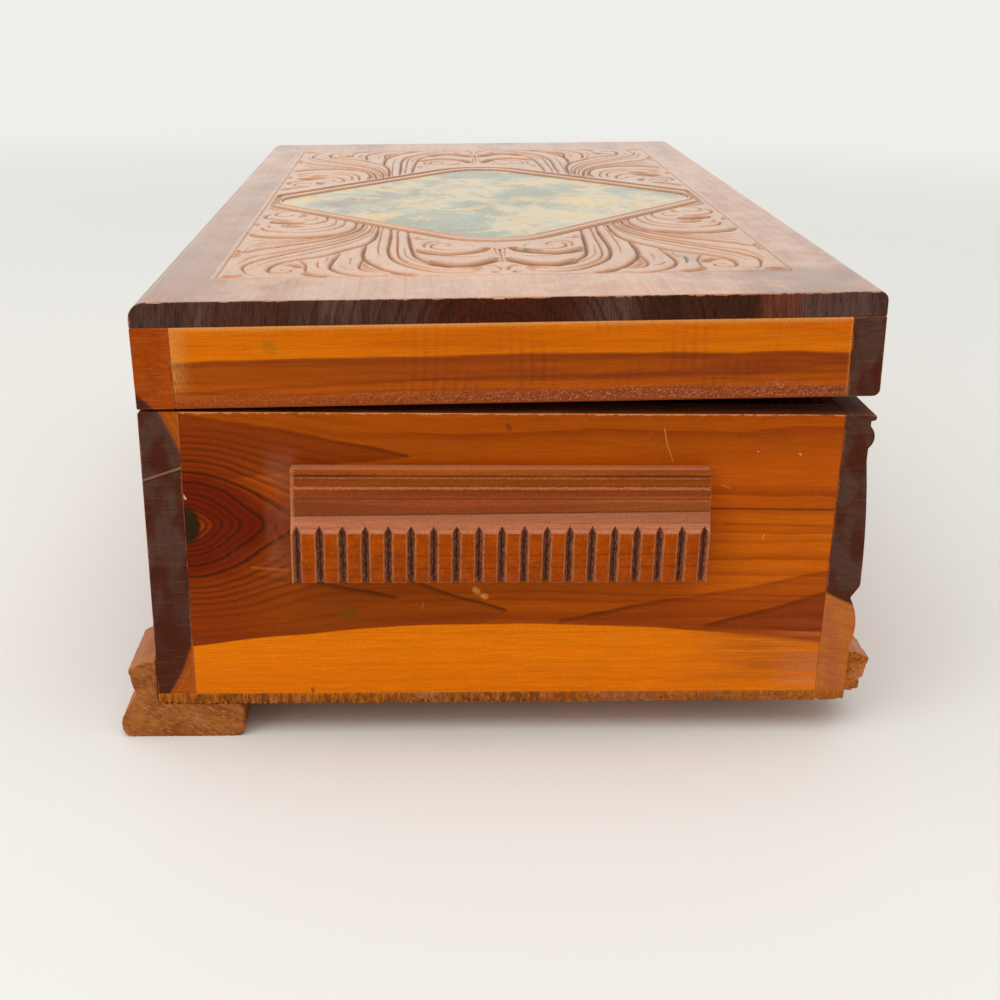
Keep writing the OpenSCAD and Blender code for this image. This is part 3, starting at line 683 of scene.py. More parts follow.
def startMaterial(name, lidPiece=False):
    # A material, with its piece's coordinates in millimetres, squared up with the body where
    # the piece belongs to the lid, and the parts of its normal
    made = bpy.data.materials.new(name)
    made.use_nodes = True
    tree = made.node_tree
    where = put(tree, "TexCoord", {}).outputs
    turned = {"Vector": where["Object"], "Scale": (1000, 1000, 1000)}
    if lidPiece:
        pin = hingePin / mm
        turned["Location"] = pin - Matrix.Rotation(ajar, 3, "X") @ pin
        turned["Rotation"] = (ajar, 0, 0)
    return made, Flow(put(tree, "Mapping", turned).outputs[0]), Flow(where["Normal"]).parts()


def surface(made, colour, rough, relief, specular=0.22, **more):
    # Colour, roughness and fine relief in millimetres. The varnish is amber: its gloss is warm,
    # as the wood's own colour shows through
    tree = made.node_tree
    bump = put(tree, "Bump", {"Height": relief, "Distance": mm, "Strength": 1})
    feeds = {"Base Color": colour, "Roughness": rough, "Normal": bump.outputs[0],
             "Specular IOR Level": specular, "Specular Tint": (1, 0.55, 0.14, 1), **more}
    for label, value in feeds.items():
        feed(tree.nodes["Principled BSDF"].inputs[label], value)
    return made


# End boards and end rails: sapwood and a knot under glossy varnish, the grain running across the box

endBoard = dict(
    knot=(67.6, 50.5),      # middle of the knot, across and up, in millimetres
    spread=(15, 16),    # reach of the grain that bends round it
    rise=9,
    lean=0.28,
    ring=0.72,
    sapTop=27.3,            # top of the sapwood at the middle of the board
    heart=(184, 80, 6),
    warm=(198, 94, 6),
    olive=(162, 70, 4),
    flame=(106, 15, 2),
    ringDark=(36, 7, 3),
    knotCore=(34, 18, 11),
    knotGlow=(160, 52, 8),
    sap=(229, 119, 2),
    sapLow=(222, 112, 2),
    pale=(206, 138, 88),
)

# Marks on the left end board: start and end (across, up), half width, softness, raggedness,
# colour, strength
endMarks = [
    ((-31.7, 71.9), (-32.4, 68.6), 0.12, 0.5, 0.3, (220, 150, 86), 0.5),
    ((-32.4, 68.6), (-33.9, 64.9), 0.1, 0.5, 0.3, (220, 150, 86), 0.5),
    ((7.2, 35.6), (6.6, 35), 0.6, 0.5, 0.8, (218, 142, 70), 0.7),
    ((5.4, 34.1), (4.9, 33.8), 0.55, 0.5, 0.8, (224, 150, 78), 0.75),
    ((68.9, 58.6), (67.6, 56.4), 0.24, 0.4, 0.5, (232, 170, 130), 0.85),
    ((35.4, 30.3), (33.6, 30.2), 1.4, 0.8, 0.5, (88, 70, 12), 0.45),
    ((54.5, 40.8), (47, 40.2), 0.26, 0.8, 0.9, (190, 104, 36), 0.45),
    ((-42.5, 54.3), (-69, 54), 0.24, 0.7, 0.5, (92, 30, 10), 0.75),
    ((-46, 50.8), (-69, 50.2), 0.26, 0.9, 0.8, (120, 46, 10), 0.5),
    ((1, 72.6), (0.5, 71.9), 0.4, 0.6, 0.6, (104, 34, 10), 0.7),
    ((-44.6, 59.6), (-46.4, 58.9), 0.16, 0.6, 1, (216, 146, 92), 0.3),
    ((-60.6, 66.6), (-60.9, 66.4), 0.16, 0.5, 0.4, (236, 190, 138), 0.55),
    ((-51.6, 67.2), (-51.8, 67.1), 0.1, 0.4, 0.4, (236, 190, 138), 0.7),
    ((-54.6, 48.4), (-54.4, 47.2), 0.1, 0.6, 0.4, (230, 170, 96), 0.6),
    ((18.6, 30.8), (18.3, 32.6), 0.08, 0.5, 0.3, (206, 130, 70), 0.5),
    ((42.6, 11.8), (42.5, 11.1), 0.35, 0.5, 0.6, (120, 50, 8), 0.7),
]

# Tongues of dark grain: tip (across, up), side that they open to, upper and lower slope, colour, strength
grainTongues = [
    ((20.5, 66.3), 1, 0.15, 0.12, (116, 38, 7), 0.66, 0.42),
    ((-0.5, 30.3), 1, 0.33, 0.4, (120, 48, 7), 0.45, 0.65),
    ((-10.6, 27.9), -1, 0.17, 0.02, (138, 48, 9), 0.5, 0.6),
    ((-42.4, 26.3), -1, 0.28, 0, (116, 42, 16), 0.62, 0.5),
    ((23.2, 34.2), 1, 0.12, 0.3, (124, 50, 6), 0.3, 0.6),
]


def endBoardWood(name, nodeName, mirrored):
    made, where, facing = startMaterial(name)
    x, y, z = where.parts()
    if mirrored:
        # the other end board is another piece of wood: its knot lies off the board
        y = -26 - y
        x = x * -1
    high = nodeBox(nodeName)[1]
    flat = join(x, y, z)
    sway = flat.noise((0.02, 0.035, 0.11), 3) - 0.5
    up = z + sway * 3.4
    lengthwise = join(y, x, z)
    rings = cedarRings(lengthwise, (0, -150, 64), 2.6, 5, 0.016)
    old = oldVarnish(flat, 0.5)

    across = endBoard["knot"][0] - y
    rise = up - endBoard["knot"][1]
    wide = across / endBoard["spread"][0]
    tall = rise / endBoard["spread"][1]
    away = calc("POWER", wide * wide + tall * tall, 0.6)
    swell = endBoard["rise"] * calc("EXPONENT", away * -1)
    level = calc("SQRT", rise * rise + 1.2)
    field = swell - endBoard["lean"] * level + (old["Pores"] - 0.5) * 0.12
    count = field / endBoard["ring"]
    turn = calc("FRACT", count + 40)
    each = join(count, 0, 0).noise((0.9, 1, 1), 0).rise(0.32, 0.62, 0.2, 1)
    nearKnot = across.rise(58, 14, 0.12, 1)
    lines = turn.rise(0.2, 0.8) * turn.rise(1, 0.93) * each * nearKnot

    wood = mix(rings["Tone"].rise(0.36, 0.64), endBoard["heart"], endBoard["olive"])
    brighter = z.rise(30, 37) * z.rise(56, 50) * y.rise(-36, -52)
    wood = mix(brighter * 0.85, wood, endBoard["warm"])
    # darker olive below the moulding: partly the wood's own tone, partly a painted shadow of the moulding
    oliveAndShadow = z.rise(39, 34) * y.rise(56, 36) * y.rise(-44, -30)
    wood = mix(oliveAndShadow * 0.6, wood, endBoard["olive"])
    for tip, side, upSlope, downSlope, colour, fill, rim in grainTongues:
        tongue = group("grain tongue", Across=y, Up=up, TipAcross=tip[0], TipUp=tip[1], Side=side,
                       UpSlope=upSlope, DownSlope=downSlope)
        wood = mix(tongue["Fill"] * fill, wood, colour)
        wood = mix(tongue["Rim"] * rim, wood, endBoard["ringDark"])
    redder = y.rise(47, 60) * z.rise(77, 64) * 0.55
    wood = mix(redder, wood, (128, 32, 4))
    wood = mix(field.rise(-0.6, 3), wood, endBoard["flame"])
    wood = mix(field.rise(6.2, 7) * 0.75, wood, endBoard["knotGlow"])
    around = field.rise(-4.6, 0.6, 0.24, 1)
    wood = mix(lines * around * 0.8, wood, endBoard["ringDark"])
    far = across.rise(20, 60, 0.1, 0.42)
    wood = mix(rings["Lines"] * far, wood, endBoard["flame"])
    # sapwood below a gently bowed line, with a dark last ring above it
    bowed = endBoard["sapTop"] - 0.0011 * (y * y)
    overSap = z + sway * 1.6 - bowed
    lastRing = overSap.rise(-0.2, 0.4) * overSap.rise(4.2, 0.2)
    wood = mix(lastRing * 0.45, wood, (122, 44, 7))
    sapColour = mix(z.rise(24, 12), endBoard["sap"], endBoard["sapLow"])
    sapColour = mix(rings["Lines"] * 0.22, sapColour, (180, 82, 6))
    blur = y.rise(-40, -62, 0.25, 1.3)
    inSap = (overSap / blur).rise(0.7, -0.7)
    wood = mix(inSap, wood, sapColour)
    # towards the front the sapwood goes brown and mauve in streaks
    streaks = flat.noise((0.3, 0.018, 0.75), 3, 0.65)
    mauve = (y.rise(-30, -60) * overSap.rise(2.5, -0.5) * (z + y * 0.12).rise(4, 10)
             * streaks.rise(0.34, 0.56, 0.25, 1))
    wood = mix(mauve * 0.62, wood, (150, 68, 28))
    dusty = y.rise(-56, -66) * z.rise(30, 22) * streaks.rise(0.4, 0.6)
    wood = mix(dusty * 0.5, wood, (190, 112, 74))
    # the knot itself, at the joint with the back board
    core = join(0, across / 2.7, rise / 4.3).vector("LENGTH") + (old["Pores"] - 0.5) * 0.7
    wood = mix(core.rise(1.25, 0.8), wood, endBoard["knotCore"])
    # old glue and dull varnish round the moulding
    halo = (y.rise(43.4, 46.2) * y.rise(52.4, 49.4) * z.rise(36, 42) * z.rise(70, 61)
            * flat.noise((0.2, 0.2, 0.11), 3, 0.6).rise(0.3, 0.55))
    if not mirrored:
        wood = mix(halo * 0.62, wood, (138, 78, 56))
    grain = rings["Fibre"].rise(0.25, 0.75, 0.86, 1.12)
    wood = dim(wood, grain * old["Pores"].rise(0.3, 0.7, 0.9, 1.09))
    relief = (rings["Fibre"] + old["Pores"]) * 0.035
    if not mirrored:
        level = -halfLength
        for start, end, width, soft, broken, colour, strength in endMarks:
            mark = markAt(join(level, y, z), (level, *start), (level, *end), width, soft, broken)
            wood = mix(mark * strength, wood, colour)
            relief = relief - mark * (0.05 * strength)
    wood = mix(old["Specks"] * 0.6, wood, (226, 160, 100))
    wood = mix(old["Scratches"] * 0.25, wood, (214, 150, 96))
    # pale line where the varnish is rubbed off the top edge, broken by small chips
    top = high.z - z
    ragged = flat.noise((0.5, 0.55, 0.6), 3, 0.7).rise(0.3, 0.75, 0.1, 1.1)
    rub = (top / ragged).rise(0.62, 0.3) * top.rise(0, 0.06)
    wood = mix(rub * 0.75, wood, endBoard["pale"])
    # the top face is painted dark, a painted shade of the gap under the lid, with paler scuffs of wear
    scuffs = flat.noise((1.8, 0.07, 1), 3, 0.7).rise(0.5, 0.66)
    shadedTopFace = mix(scuffs * 0.6, (58, 30, 20), (130, 86, 64))
    wood = mix(facing[2].rise(0.7, 0.95) * 0.85, wood, shadedTopFace)
    bare = bareInside(where, (-128.95, -90, 10.75), (128.95, 90, 75.1))
    raw = mix(rings["Lines"], (206, 142, 96), (166, 84, 56))
    raw = mix(inSap, raw, (226, 186, 136))
    wood = mix(bare, wood, dim(raw, grain, 0.5))
    rough = (0.3 + old["Dull"] * 0.12 + halo * 0.2 + facing[2].rise(0.7, 0.95, 0, 0.4)
             + highest(rub, bare) * 0.3)
    return surface(made, wood, rough, relief)


endRail = dict(
    amber=(212, 108, 4),
    amberDeep=(198, 94, 4),
    lower=(160, 70, 8),
    lowerRed=(132, 52, 18),
    foot=(124, 48, 22),
    pale=(226, 168, 96),
)


def endRailWood(name, nodeName, mirrored):
    made, where, facing = startMaterial(name, lidPiece=True)
    low, high = nodeBox(nodeName, square=True)
    x, y, z = where.parts()
    y = y * (-1 if mirrored else 1)
    flat = join(x, y, z)
    lengthwise = join(y, x, z)
    old = oldVarnish(flat, 0.6)
    rings = cedarRings(lengthwise, (0, -120, 120), 2.1, 4, 0.02)
    sway = flat.noise((0.02, 0.03, 0.1), 3) - 0.5
    up = z + sway * 2.2
    # the darker wood starts about half way down, a little higher towards the front
    fromMiddle = y - 5
    border = 86.1 - 0.00026 * fromMiddle * fromMiddle
    under = border - up
    lower = under.rise(-0.35, 0.5)
    rim = under.rise(-0.3, 0.2) * under.rise(1.6, 0.4)
    amber = mix(rings["Tone"].rise(0.4, 0.62), endRail["amber"], endRail["amberDeep"])
    redder = flat.noise((0.03, 0.022, 0.3), 3, 0.6).rise(0.38, 0.62)
    frontward = y.rise(40, -40, 0.25, 1)
    brown = mix(redder * frontward, endRail["lower"], endRail["lowerRed"])
    lighter = up.rise(81, 80.2) * up.rise(77.5, 78.5) * 0.6
    brown = mix(lighter, brown, (180, 82, 6))
    wood = mix(lower, amber, brown)
    wood = mix(rim * 0.4, wood, (112, 40, 14))
    wood = mix(rings["Lines"] * lower.rise(0, 1, 0.12, 0.5), wood, (120, 46, 12))
    # second dark line lower down
    second = y.rise(70, 10, 78.8, 81.2) - up
    line = second.rise(-0.4, 0) * second.rise(0.9, 0.1) * 0.4
    wood = mix(line, wood, (112, 42, 14))
    # planer chatter: faint upright bars, strongest in the middle
    bar = calc("SINE", y * 2.85 + sway * 9)
    bars = (bar.rise(-0.2, 0.9) * flat.noise((0.05, 0.09, 0.12), 2).rise(0.4, 0.62) * y.rise(40, 8)
            * y.rise(-66, -50) * up.rise(88, 84.5, 0.35, 1))
    wood = mix(bars * 0.3, wood, (112, 42, 26))
    # scuffed foot of the rail: short slanting scrapes
    slant = join(x * 0.2, y * 1.15 + z * 1.5, z * 1.2 - y * 0.35)
    scrape = slant.noise((1, 2.6, 1.9), 3, 0.75).rise(0.5, 0.64)
    edge = z + (flat.noise((0.1, 0.12, 0.2), 2) - 0.5) * 3
    fore = y.rise(58, -12, 0.3, 1)
    footZone = edge.rise(78.9, 76.4) * fore
    wood = mix(footZone * 0.7, wood, endRail["foot"])
    scuff = scrape * edge.rise(79.4, 77.4) * z.rise(75.7, 76.1) * fore
    wood = mix(scuff * 0.72, wood, (222, 144, 104))
    grain = rings["Fibre"].rise(0.25, 0.75, 0.86, 1.12)
    wood = dim(wood, grain * old["Pores"].rise(0.3, 0.7, 0.91, 1.08))
    # furry, rubbed edges: along the top, and at the back end
    fur = flat.noise((0.6, 2.4, 1.2), 3, 0.75)
    top = high.z - z
    fromBack = high.y - y
    topRub = (top + fur * 2.4).rise(2.35, 1.35) * 0.75
    strokes = flat.noise((0.6, 3.6, 0.8), 3, 0.8).rise(0.36, 0.6, 0.2, 1)
    backRub = (fromBack + fur * 8).rise(8.6, 4) * z.rise(76.5, 82) * strokes * 0.6
    frontRub = (y - low.y + fur * 1.6).rise(1.6, 0.9) * 0.3
    rub = highest(topRub, highest(backRub, frontRub)) * fur.rise(0.3, 0.66, 0.35, 1)
    wood = mix(rub, wood, endRail["pale"])
    stain = markAt(join(-halfLength, y, z), (-halfLength, 49, 88.4), (-halfLength, 48.2, 87.8),
                   1.2, 0.8, 0.6)
    wood = mix(stain * 0.35, wood, (120, 96, 20))
    wood = mix(old["Specks"] * 0.5, wood, (232, 176, 116))
    bare = bareInside(where, (-129.25, -90, 75.6), (129.25, 90, 92.25))
    raw = mix(rings["Lines"], (210, 148, 100), (170, 88, 58))
    wood = mix(bare, wood, raw)
    # the underside of the rim, lightly varnished
    beneath = facing[2].rise(-0.7, -0.9)
    striped = where.noise((2.6, 0.03, 1), 3, 0.65)
    under = mix(striped.rise(0.4, 0.62), (176, 96, 44), (128, 58, 26))
    wood = mix(beneath * 0.85, wood, under)
    rough = 0.3 + old["Dull"] * 0.1 + highest(rub, bare) * 0.35
    return surface(made, wood, rough, rings["Fibre"] * 0.04 + scuff * 0.06 - bars * 0.03)


# Long boards and rails: heartwood whose end grain has drunk the varnish and gone nearly black

def longWood(name, nodeName, pith, heartRadius, darkHeart, colours, lidPiece=False, rings=2, bareBox=None,
             crack=None):
    made, where, facing = startMaterial(name, lidPiece)
    low, high = nodeBox(nodeName, square=lidPiece)
    z = where.parts()[2]
    old = oldVarnish(where, 0.5)
    grown = cedarRings(where, (0, *pith), rings, 2.2)
    endFace = abs(facing[0]).rise(0.55, 0.85)
    inHeart = grown["Radius"].rise(heartRadius + 0.5, heartRadius - 0.5)
    if not darkHeart:
        inHeart = 1 - inHeart
    # long faces
    side = mix(grown["Tone"].rise(0.36, 0.64), colours["side"], colours["sideDeep"])
    side = mix(grown["Lines"] * 0.5, side, colours["line"])
    sapSide = mix(grown["Lines"] * 0.3, colours["sapSide"], colours["sideDeep"])
    side = mix(inHeart, sapSide, side)
    # end grain: arcs of the rings, crossed by fine saw marks
    saw = where.noise((0.2, 0.14, 3.2), 3, 0.75)
    deep = mix(where.noise((0.05, 0.2, 0.12), 3).rise(0.42, 0.62), colours["end"], colours["endRed"])
    if not lidPiece:
        deep = mix(z.rise(38, 22) * 0.85, deep, colours["endRed"])
    deep = mix(grown["Lines"] * 0.3, deep, colours["endLine"])
    deep = mix(saw.rise(0.52, 0.7) * 0.35, deep, colours["endPale"])
    deep = mix(saw.rise(0.45, 0.32) * 0.6, deep, colours["endLine"])
    sapEnd = mix(grown["Lines"] * 0.4, colours["sapEnd"], colours["sapEndLine"])
    patch = where.noise((0.2, 0.2, 0.1), 3, 0.6).rise(0.46, 0.62)
    sapEnd = mix(patch * 0.55, sapEnd, colours["sapPatch"])
    sapEnd = mix(saw.rise(0.5, 0.66) * 0.22, sapEnd, colours["worn"])
    sapEnd = mix(saw.rise(0.45, 0.32) * 0.5, sapEnd, colours["sapEndLine"])
    deep = mix(inHeart, sapEnd, deep)
    wood = mix(endFace, side, deep)
    grain = grown["Fibre"].rise(0.25, 0.75, 0.84, 1.14)
    wood = dim(wood, grain * old["Pores"].rise(0.3, 0.7, 0.88, 1.12))
    wear = group("edge wear", Vector=where, Low=tuple(low), High=tuple(high), Width=0.26)["Wear"]
    wood = mix(wear * 0.35, wood, colours["worn"])
    wood = mix(old["Scratches"] * 0.3, wood, colours["worn"])
    wood = mix(old["Specks"] * 0.4, wood, colours["worn"])
    if crack:
        for start, end, width, colour in crack:
            mark = markAt(where, (-halfLength, *start), (-halfLength, *end), width, 0.7, 0.6)
            wood = mix(mark * 0.7, wood, colour)
    top = 0
    if not lidPiece:
        # the top face is painted dark, a painted shade of the gap under the lid, with paler scuffs of wear
        top = z.rise(high.z - 0.12, high.z - 0.02) * 0.8
        scuffs = where.noise((0.05, 1.7, 1), 3, 0.7).rise(0.52, 0.68)
        wood = mix(top, wood, mix(scuffs * 0.5, (50, 31, 24), (150, 110, 88)))
    bare = 0
    if bareBox:
        bare = bareInside(where, *bareBox)
        raw = mix(grown["Lines"], (208, 144, 98), (168, 86, 58))
        wood = mix(bare, wood, dim(raw, grain))
    rough = 0.3 + old["Dull"] * 0.14 + highest(endFace, top * 2.4) * 0.16 + highest(wear, bare) * 0.28
    relief = grown["Fibre"] * 0.04 + old["Pores"] * 0.03 + saw * endFace * 0.07 - old["Scratches"] * 0.04
    return surface(made, wood, rough, relief)


darkCedar = dict(
    side=(150, 66, 28), sideDeep=(124, 48, 22), line=(86, 30, 16), sapSide=(206, 104, 16),
    end=(78, 50, 44), endRed=(71, 23, 16), endLine=(42, 24, 22), endPale=(104, 72, 64),
    sapEnd=(168, 78, 14), sapEndLine=(120, 48, 14), sapPatch=(150, 66, 16), worn=(182, 112, 70))
frontCedar = dict(darkCedar, sapEnd=(184, 102, 42), sapEndLine=(150, 72, 34), sapPatch=(166, 82, 56))
railBackCedar = dict(darkCedar, side=(178, 86, 20), sideDeep=(150, 64, 16), line=(112, 42, 14),
                     sapEnd=(154, 58, 4), sapEndLine=(126, 42, 4), sapPatch=(166, 70, 4),
                     sapSide=(186, 92, 14))


# The carved top board: painted pale where old varnish catches the light, a painted sheen, and darker down in
# the cuts, a painted shade with some dirt

lidTopPaint = dict(
    field=(186, 132, 100),
    fieldDeep=(164, 108, 78),
    bloom=(206, 164, 138),
    ridge=(219, 170, 137),
    line=(136, 78, 52),
    groove=(192, 137, 100),
    grooveDeep=(118, 84, 52),
    rub=(226, 176, 146),
)
lidStains = [
    ((-96, -41), (-101, -42), 0.9, (120, 126, 108), 0.7),
    ((-86.6, -9.6), (-84.6, -6.2), 0.7, (62, 92, 78), 0.85),
    ((78, -60.8), (80.4, -60), 1.3, (120, 104, 96), 0.5),
    ((-122, 5), (-121.4, 3.2), 0.8, (122, 116, 112), 0.5),
    ((-116.2, -41.9), (-116, -41.7), 0.35, (50, 40, 34), 0.8),
    ((-129.5, 24), (-122, 27), 0.2, (228, 188, 164), 0.3),
    ((-118, -30), (-126, -41), 0.15, (228, 188, 164), 0.3),
    ((-126.8, -54.6), (-126.2, -52), 0.8, (140, 96, 72), 0.5),
    ((121, 30), (128, 22), 0.3, (226, 186, 160), 0.5),
]


def lidTopWood(name):
    made, where, facing = startMaterial(name, lidPiece=True)
    x, y, z = where.parts()
    old = oldVarnish(where, 0.5)
    grown = cedarRings(where, (0, 3, 86), 2.4, 5)
    depth = lidHigh.z - z
    inField = abs(y).rise(63.4, 62.6) * abs(x + 1.2).rise(114.6, 113.9)
    carved = depth.rise(0.05, 0.42) * inField
    deepCutShade = depth.rise(0.26, 0.8) * inField
    facesUp = highest(facing[2].rise(0.3, 0.6), depth.rise(3, 2, 0, inField))
    # face of the board
    wood = mix(grown["Tone"].rise(0.36, 0.64), lidTopPaint["field"], lidTopPaint["fieldDeep"])
    wood = mix(grown["Lines"] * 0.5, wood, lidTopPaint["line"])
    bloom = where.noise((0.09, 0.12, 0.1), 5, 0.7).rise(0.42, 0.62)
    wood = mix(bloom * 0.5, wood, lidTopPaint["bloom"])
    # the carved field is painted paler, a painted sheen on the ridges
    wood = mix(inField * 0.5, wood, lidTopPaint["ridge"])
    # down in the cuts the colour goes darker with depth: painted shade, with some dirt in the deepest
    wood = mix(carved * 0.9, wood, lidTopPaint["groove"])
    wood = mix(deepCutShade * 0.85, wood, lidTopPaint["grooveDeep"])
    for start, end, width, colour, strength in lidStains:
        mark = markAt(join(x, y, 0), (*start, 0), (*end, 0), width, 0.6, 0.8)
        wood = mix(mark * strength, wood, colour)
    wood = mix(old["Scratches"] * 0.3, wood, lidTopPaint["rub"])
    wood = mix(old["Specks"] * 0.6, wood, (232, 190, 160))
    # the plain borders are painted darker at the left, a painted shade where less sheen shows, and darker in
    # the near right corner; the middle is painted lighter, a painted sheen
    outside = 1 - inField
    leftShade = y.rise(56, 66) * x.rise(100, -20) * x.rise(-40, -120, 0.5, 0.76) * outside
    wood = mix(leftShade, wood, (142, 96, 76))
    nearCorner = (y.rise(-44, -53) * x.rise(-106, -118)
                  * where.noise((0.07, 0.1, 0.1), 3).rise(0.3, 0.55) * 0.8)
    wood = mix(nearCorner, wood, (132, 92, 76))
    middleSheen = abs(y).rise(52, 8) * x.rise(-60, -120) * 0.28
    wood = mix(middleSheen, wood, mix(carved, (226, 178, 148), wood))
    # the carved field is painted a little darker, more so towards the front: a painted shade
    fieldShadeToFront = inField * y.rise(34, -40, 0.06, 0.17)
    wood = mix(fieldShadeToFront, wood, (112, 78, 58))
    # sides: the long edges, and the two ends with their dark end grain
    sides = mix(grown["Tone"].rise(0.36, 0.64), (158, 78, 44), (128, 56, 32))
    sides = mix(grown["Lines"] * 0.5, sides, (92, 36, 22))
    wood = mix(facesUp, sides, wood)
    patches = join(x, y, z * 0.25).noise((0.1, 0.09, 0.1), 3, 0.6)
    endColour = mix(patches.rise(0.42, 0.6), (88, 62, 57), (70, 46, 42))
    redMiddle = y.rise(26, 12) * y.rise(-26, -6)
    endColour = mix(redMiddle * 0.95, endColour, (62, 14, 9))
    redLeft = y.rise(62, 59) * y.rise(42, 46)
    endColour = mix(redLeft * 0.7, endColour, (64, 28, 23))
    redRight = y.rise(-22, -28) * y.rise(-60, -57)
    endColour = mix(redRight * 0.9, endColour, mix(y.rise(-49, -52), (54, 19, 15), (104, 50, 38)))
    checks = where.noise((0.3, 3.2, 0.2), 3, 0.75).rise(0.46, 0.34)
    endColour = mix(checks * 0.6, endColour, (42, 24, 20))
    arcs = abs(y).rise(60, 24, 0.35, 0.8)
    endColour = mix(grown["Lines"] * arcs, endColour, (34, 14, 12))
    flecks = where.noise((0.4, 2.3, 2.6), 3, 0.8).rise(0.57, 0.7)
    endColour = mix(flecks * 0.4, endColour, (128, 92, 82))
    endFace = abs(facing[0]).rise(0.6, 0.85) * abs(x).rise(halfLength - 1.2, halfLength - 0.9)
    wood = mix(endFace, wood, endColour)
    grain = grown["Fibre"].rise(0.25, 0.75, 0.9, 1.1)
    wood = dim(wood, grain * old["Pores"].rise(0.3, 0.7, 0.93, 1.07))
    # thin worn line on the upper arrises
    wear = group("edge wear", Vector=where, Low=(lidLow.x, lidLow.y, lidLow.z - 3), High=tuple(lidHigh),
                 Width=0.32)["Wear"]
    wood = mix(wear * 0.7, wood, (200, 136, 100))
    below = z.rise(lidLow.z + 0.1, lidLow.z)
    bare = facing[2].rise(-0.7, -0.9) * below
    raw = mix(grown["Lines"] * 0.75, (208, 144, 98), (164, 84, 56))
    wood = mix(bare, wood, raw)
    rough = 0.34 + old["Dull"] * 0.14 + highest(endFace, wear) * 0.2 + bare * 0.35 + carved * 0.08
    relief = (grown["Fibre"] * 0.03 + old["Pores"] * 0.03 - checks * endFace * 0.12
              - old["Scratches"] * 0.03)
    gloss = {"Coat Weight": facesUp * carved.rise(0, 1, 0.72, 0.2), "Coat Roughness": 0.16}
    return surface(made, wood, rough, relief, **gloss)


# The print glued in the lozenge: a plain wash of soft colours under yellowed varnish

def washedPrint(name):
    made, where = startMaterial(name, lidPiece=True)[:2]
    soft = where.noise((0.034, 0.045, 0), 4, 0.6, 0.6)
    other = where.vector("ADD", (60, 20, 0)).noise((0.06, 0.06, 0), 4, 0.6, 0.3)
    third = where.vector("ADD", (-50, 90, 0)).noise((0.06, 0.07, 0), 3, 0.6, 0.8)
    colour = mix(soft.rise(0.44, 0.56), (194, 174, 130), (134, 138, 114))
    colour = mix(other.rise(0.55, 0.62) * 0.85, colour, (214, 174, 82))
    colour = mix(other.rise(0.44, 0.32) * 0.7, colour, (112, 128, 124))
    colour = mix(third.rise(0.58, 0.7) * 0.6, colour, (84, 110, 94))
    colour = mix(third.rise(0.4, 0.3) * 0.5, colour, (140, 80, 46))
    dabs = where.noise((0.3, 0.5, 0), 3, 0.65)
    colour = mix(dabs.rise(0.56, 0.7) * 0.3, colour, (232, 222, 196))
    colour = mix(dabs.rise(0.42, 0.3) * 0.3, colour, (92, 92, 74))
    old = oldVarnish(where, 0.7)
    colour = mix(old["Specks"] * 0.7, colour, (236, 226, 206))
    colour = mix(old["Scratches"] * 0.3, colour, (236, 222, 196))
    return surface(made, colour, 0.3 + old["Dull"] * 0.15, old["Pores"] * 0.02, 0.3,
                  **{"Coat Weight": 0.6, "Coat Roughness": 0.14})


# The fluted moulding: bright faces between dark grooves, their dark partly dirt and partly painted shade,
# pale worn arrises, and a cove painted pale, a painted sheen

moulding = dict(
    flutes=18,
    fluteIn=1.2,
    bandTop=11,          # heights above the moulding's underside, in millimetres
    coveLine=14.95,
    fasciaLow=18.5,
    capLow=20.1,
    face=(166, 67, 2),
    faceDeep=(150, 58, 4),
    groove=(148, 86, 66),
    grooveDeep=(82, 42, 30),
    cove=(190, 115, 83),
    coveUpper=(148, 68, 34),
    fascia=(138, 60, 20),
    cap=(162, 76, 16),
    pale=(196, 128, 84),
    frayed=(41.6, 43.2, 45.1, 46.4, 48.6, 50.2, 53.4, 56.2, 59.3, 61.2, 62.4),  # heights of its chips
)


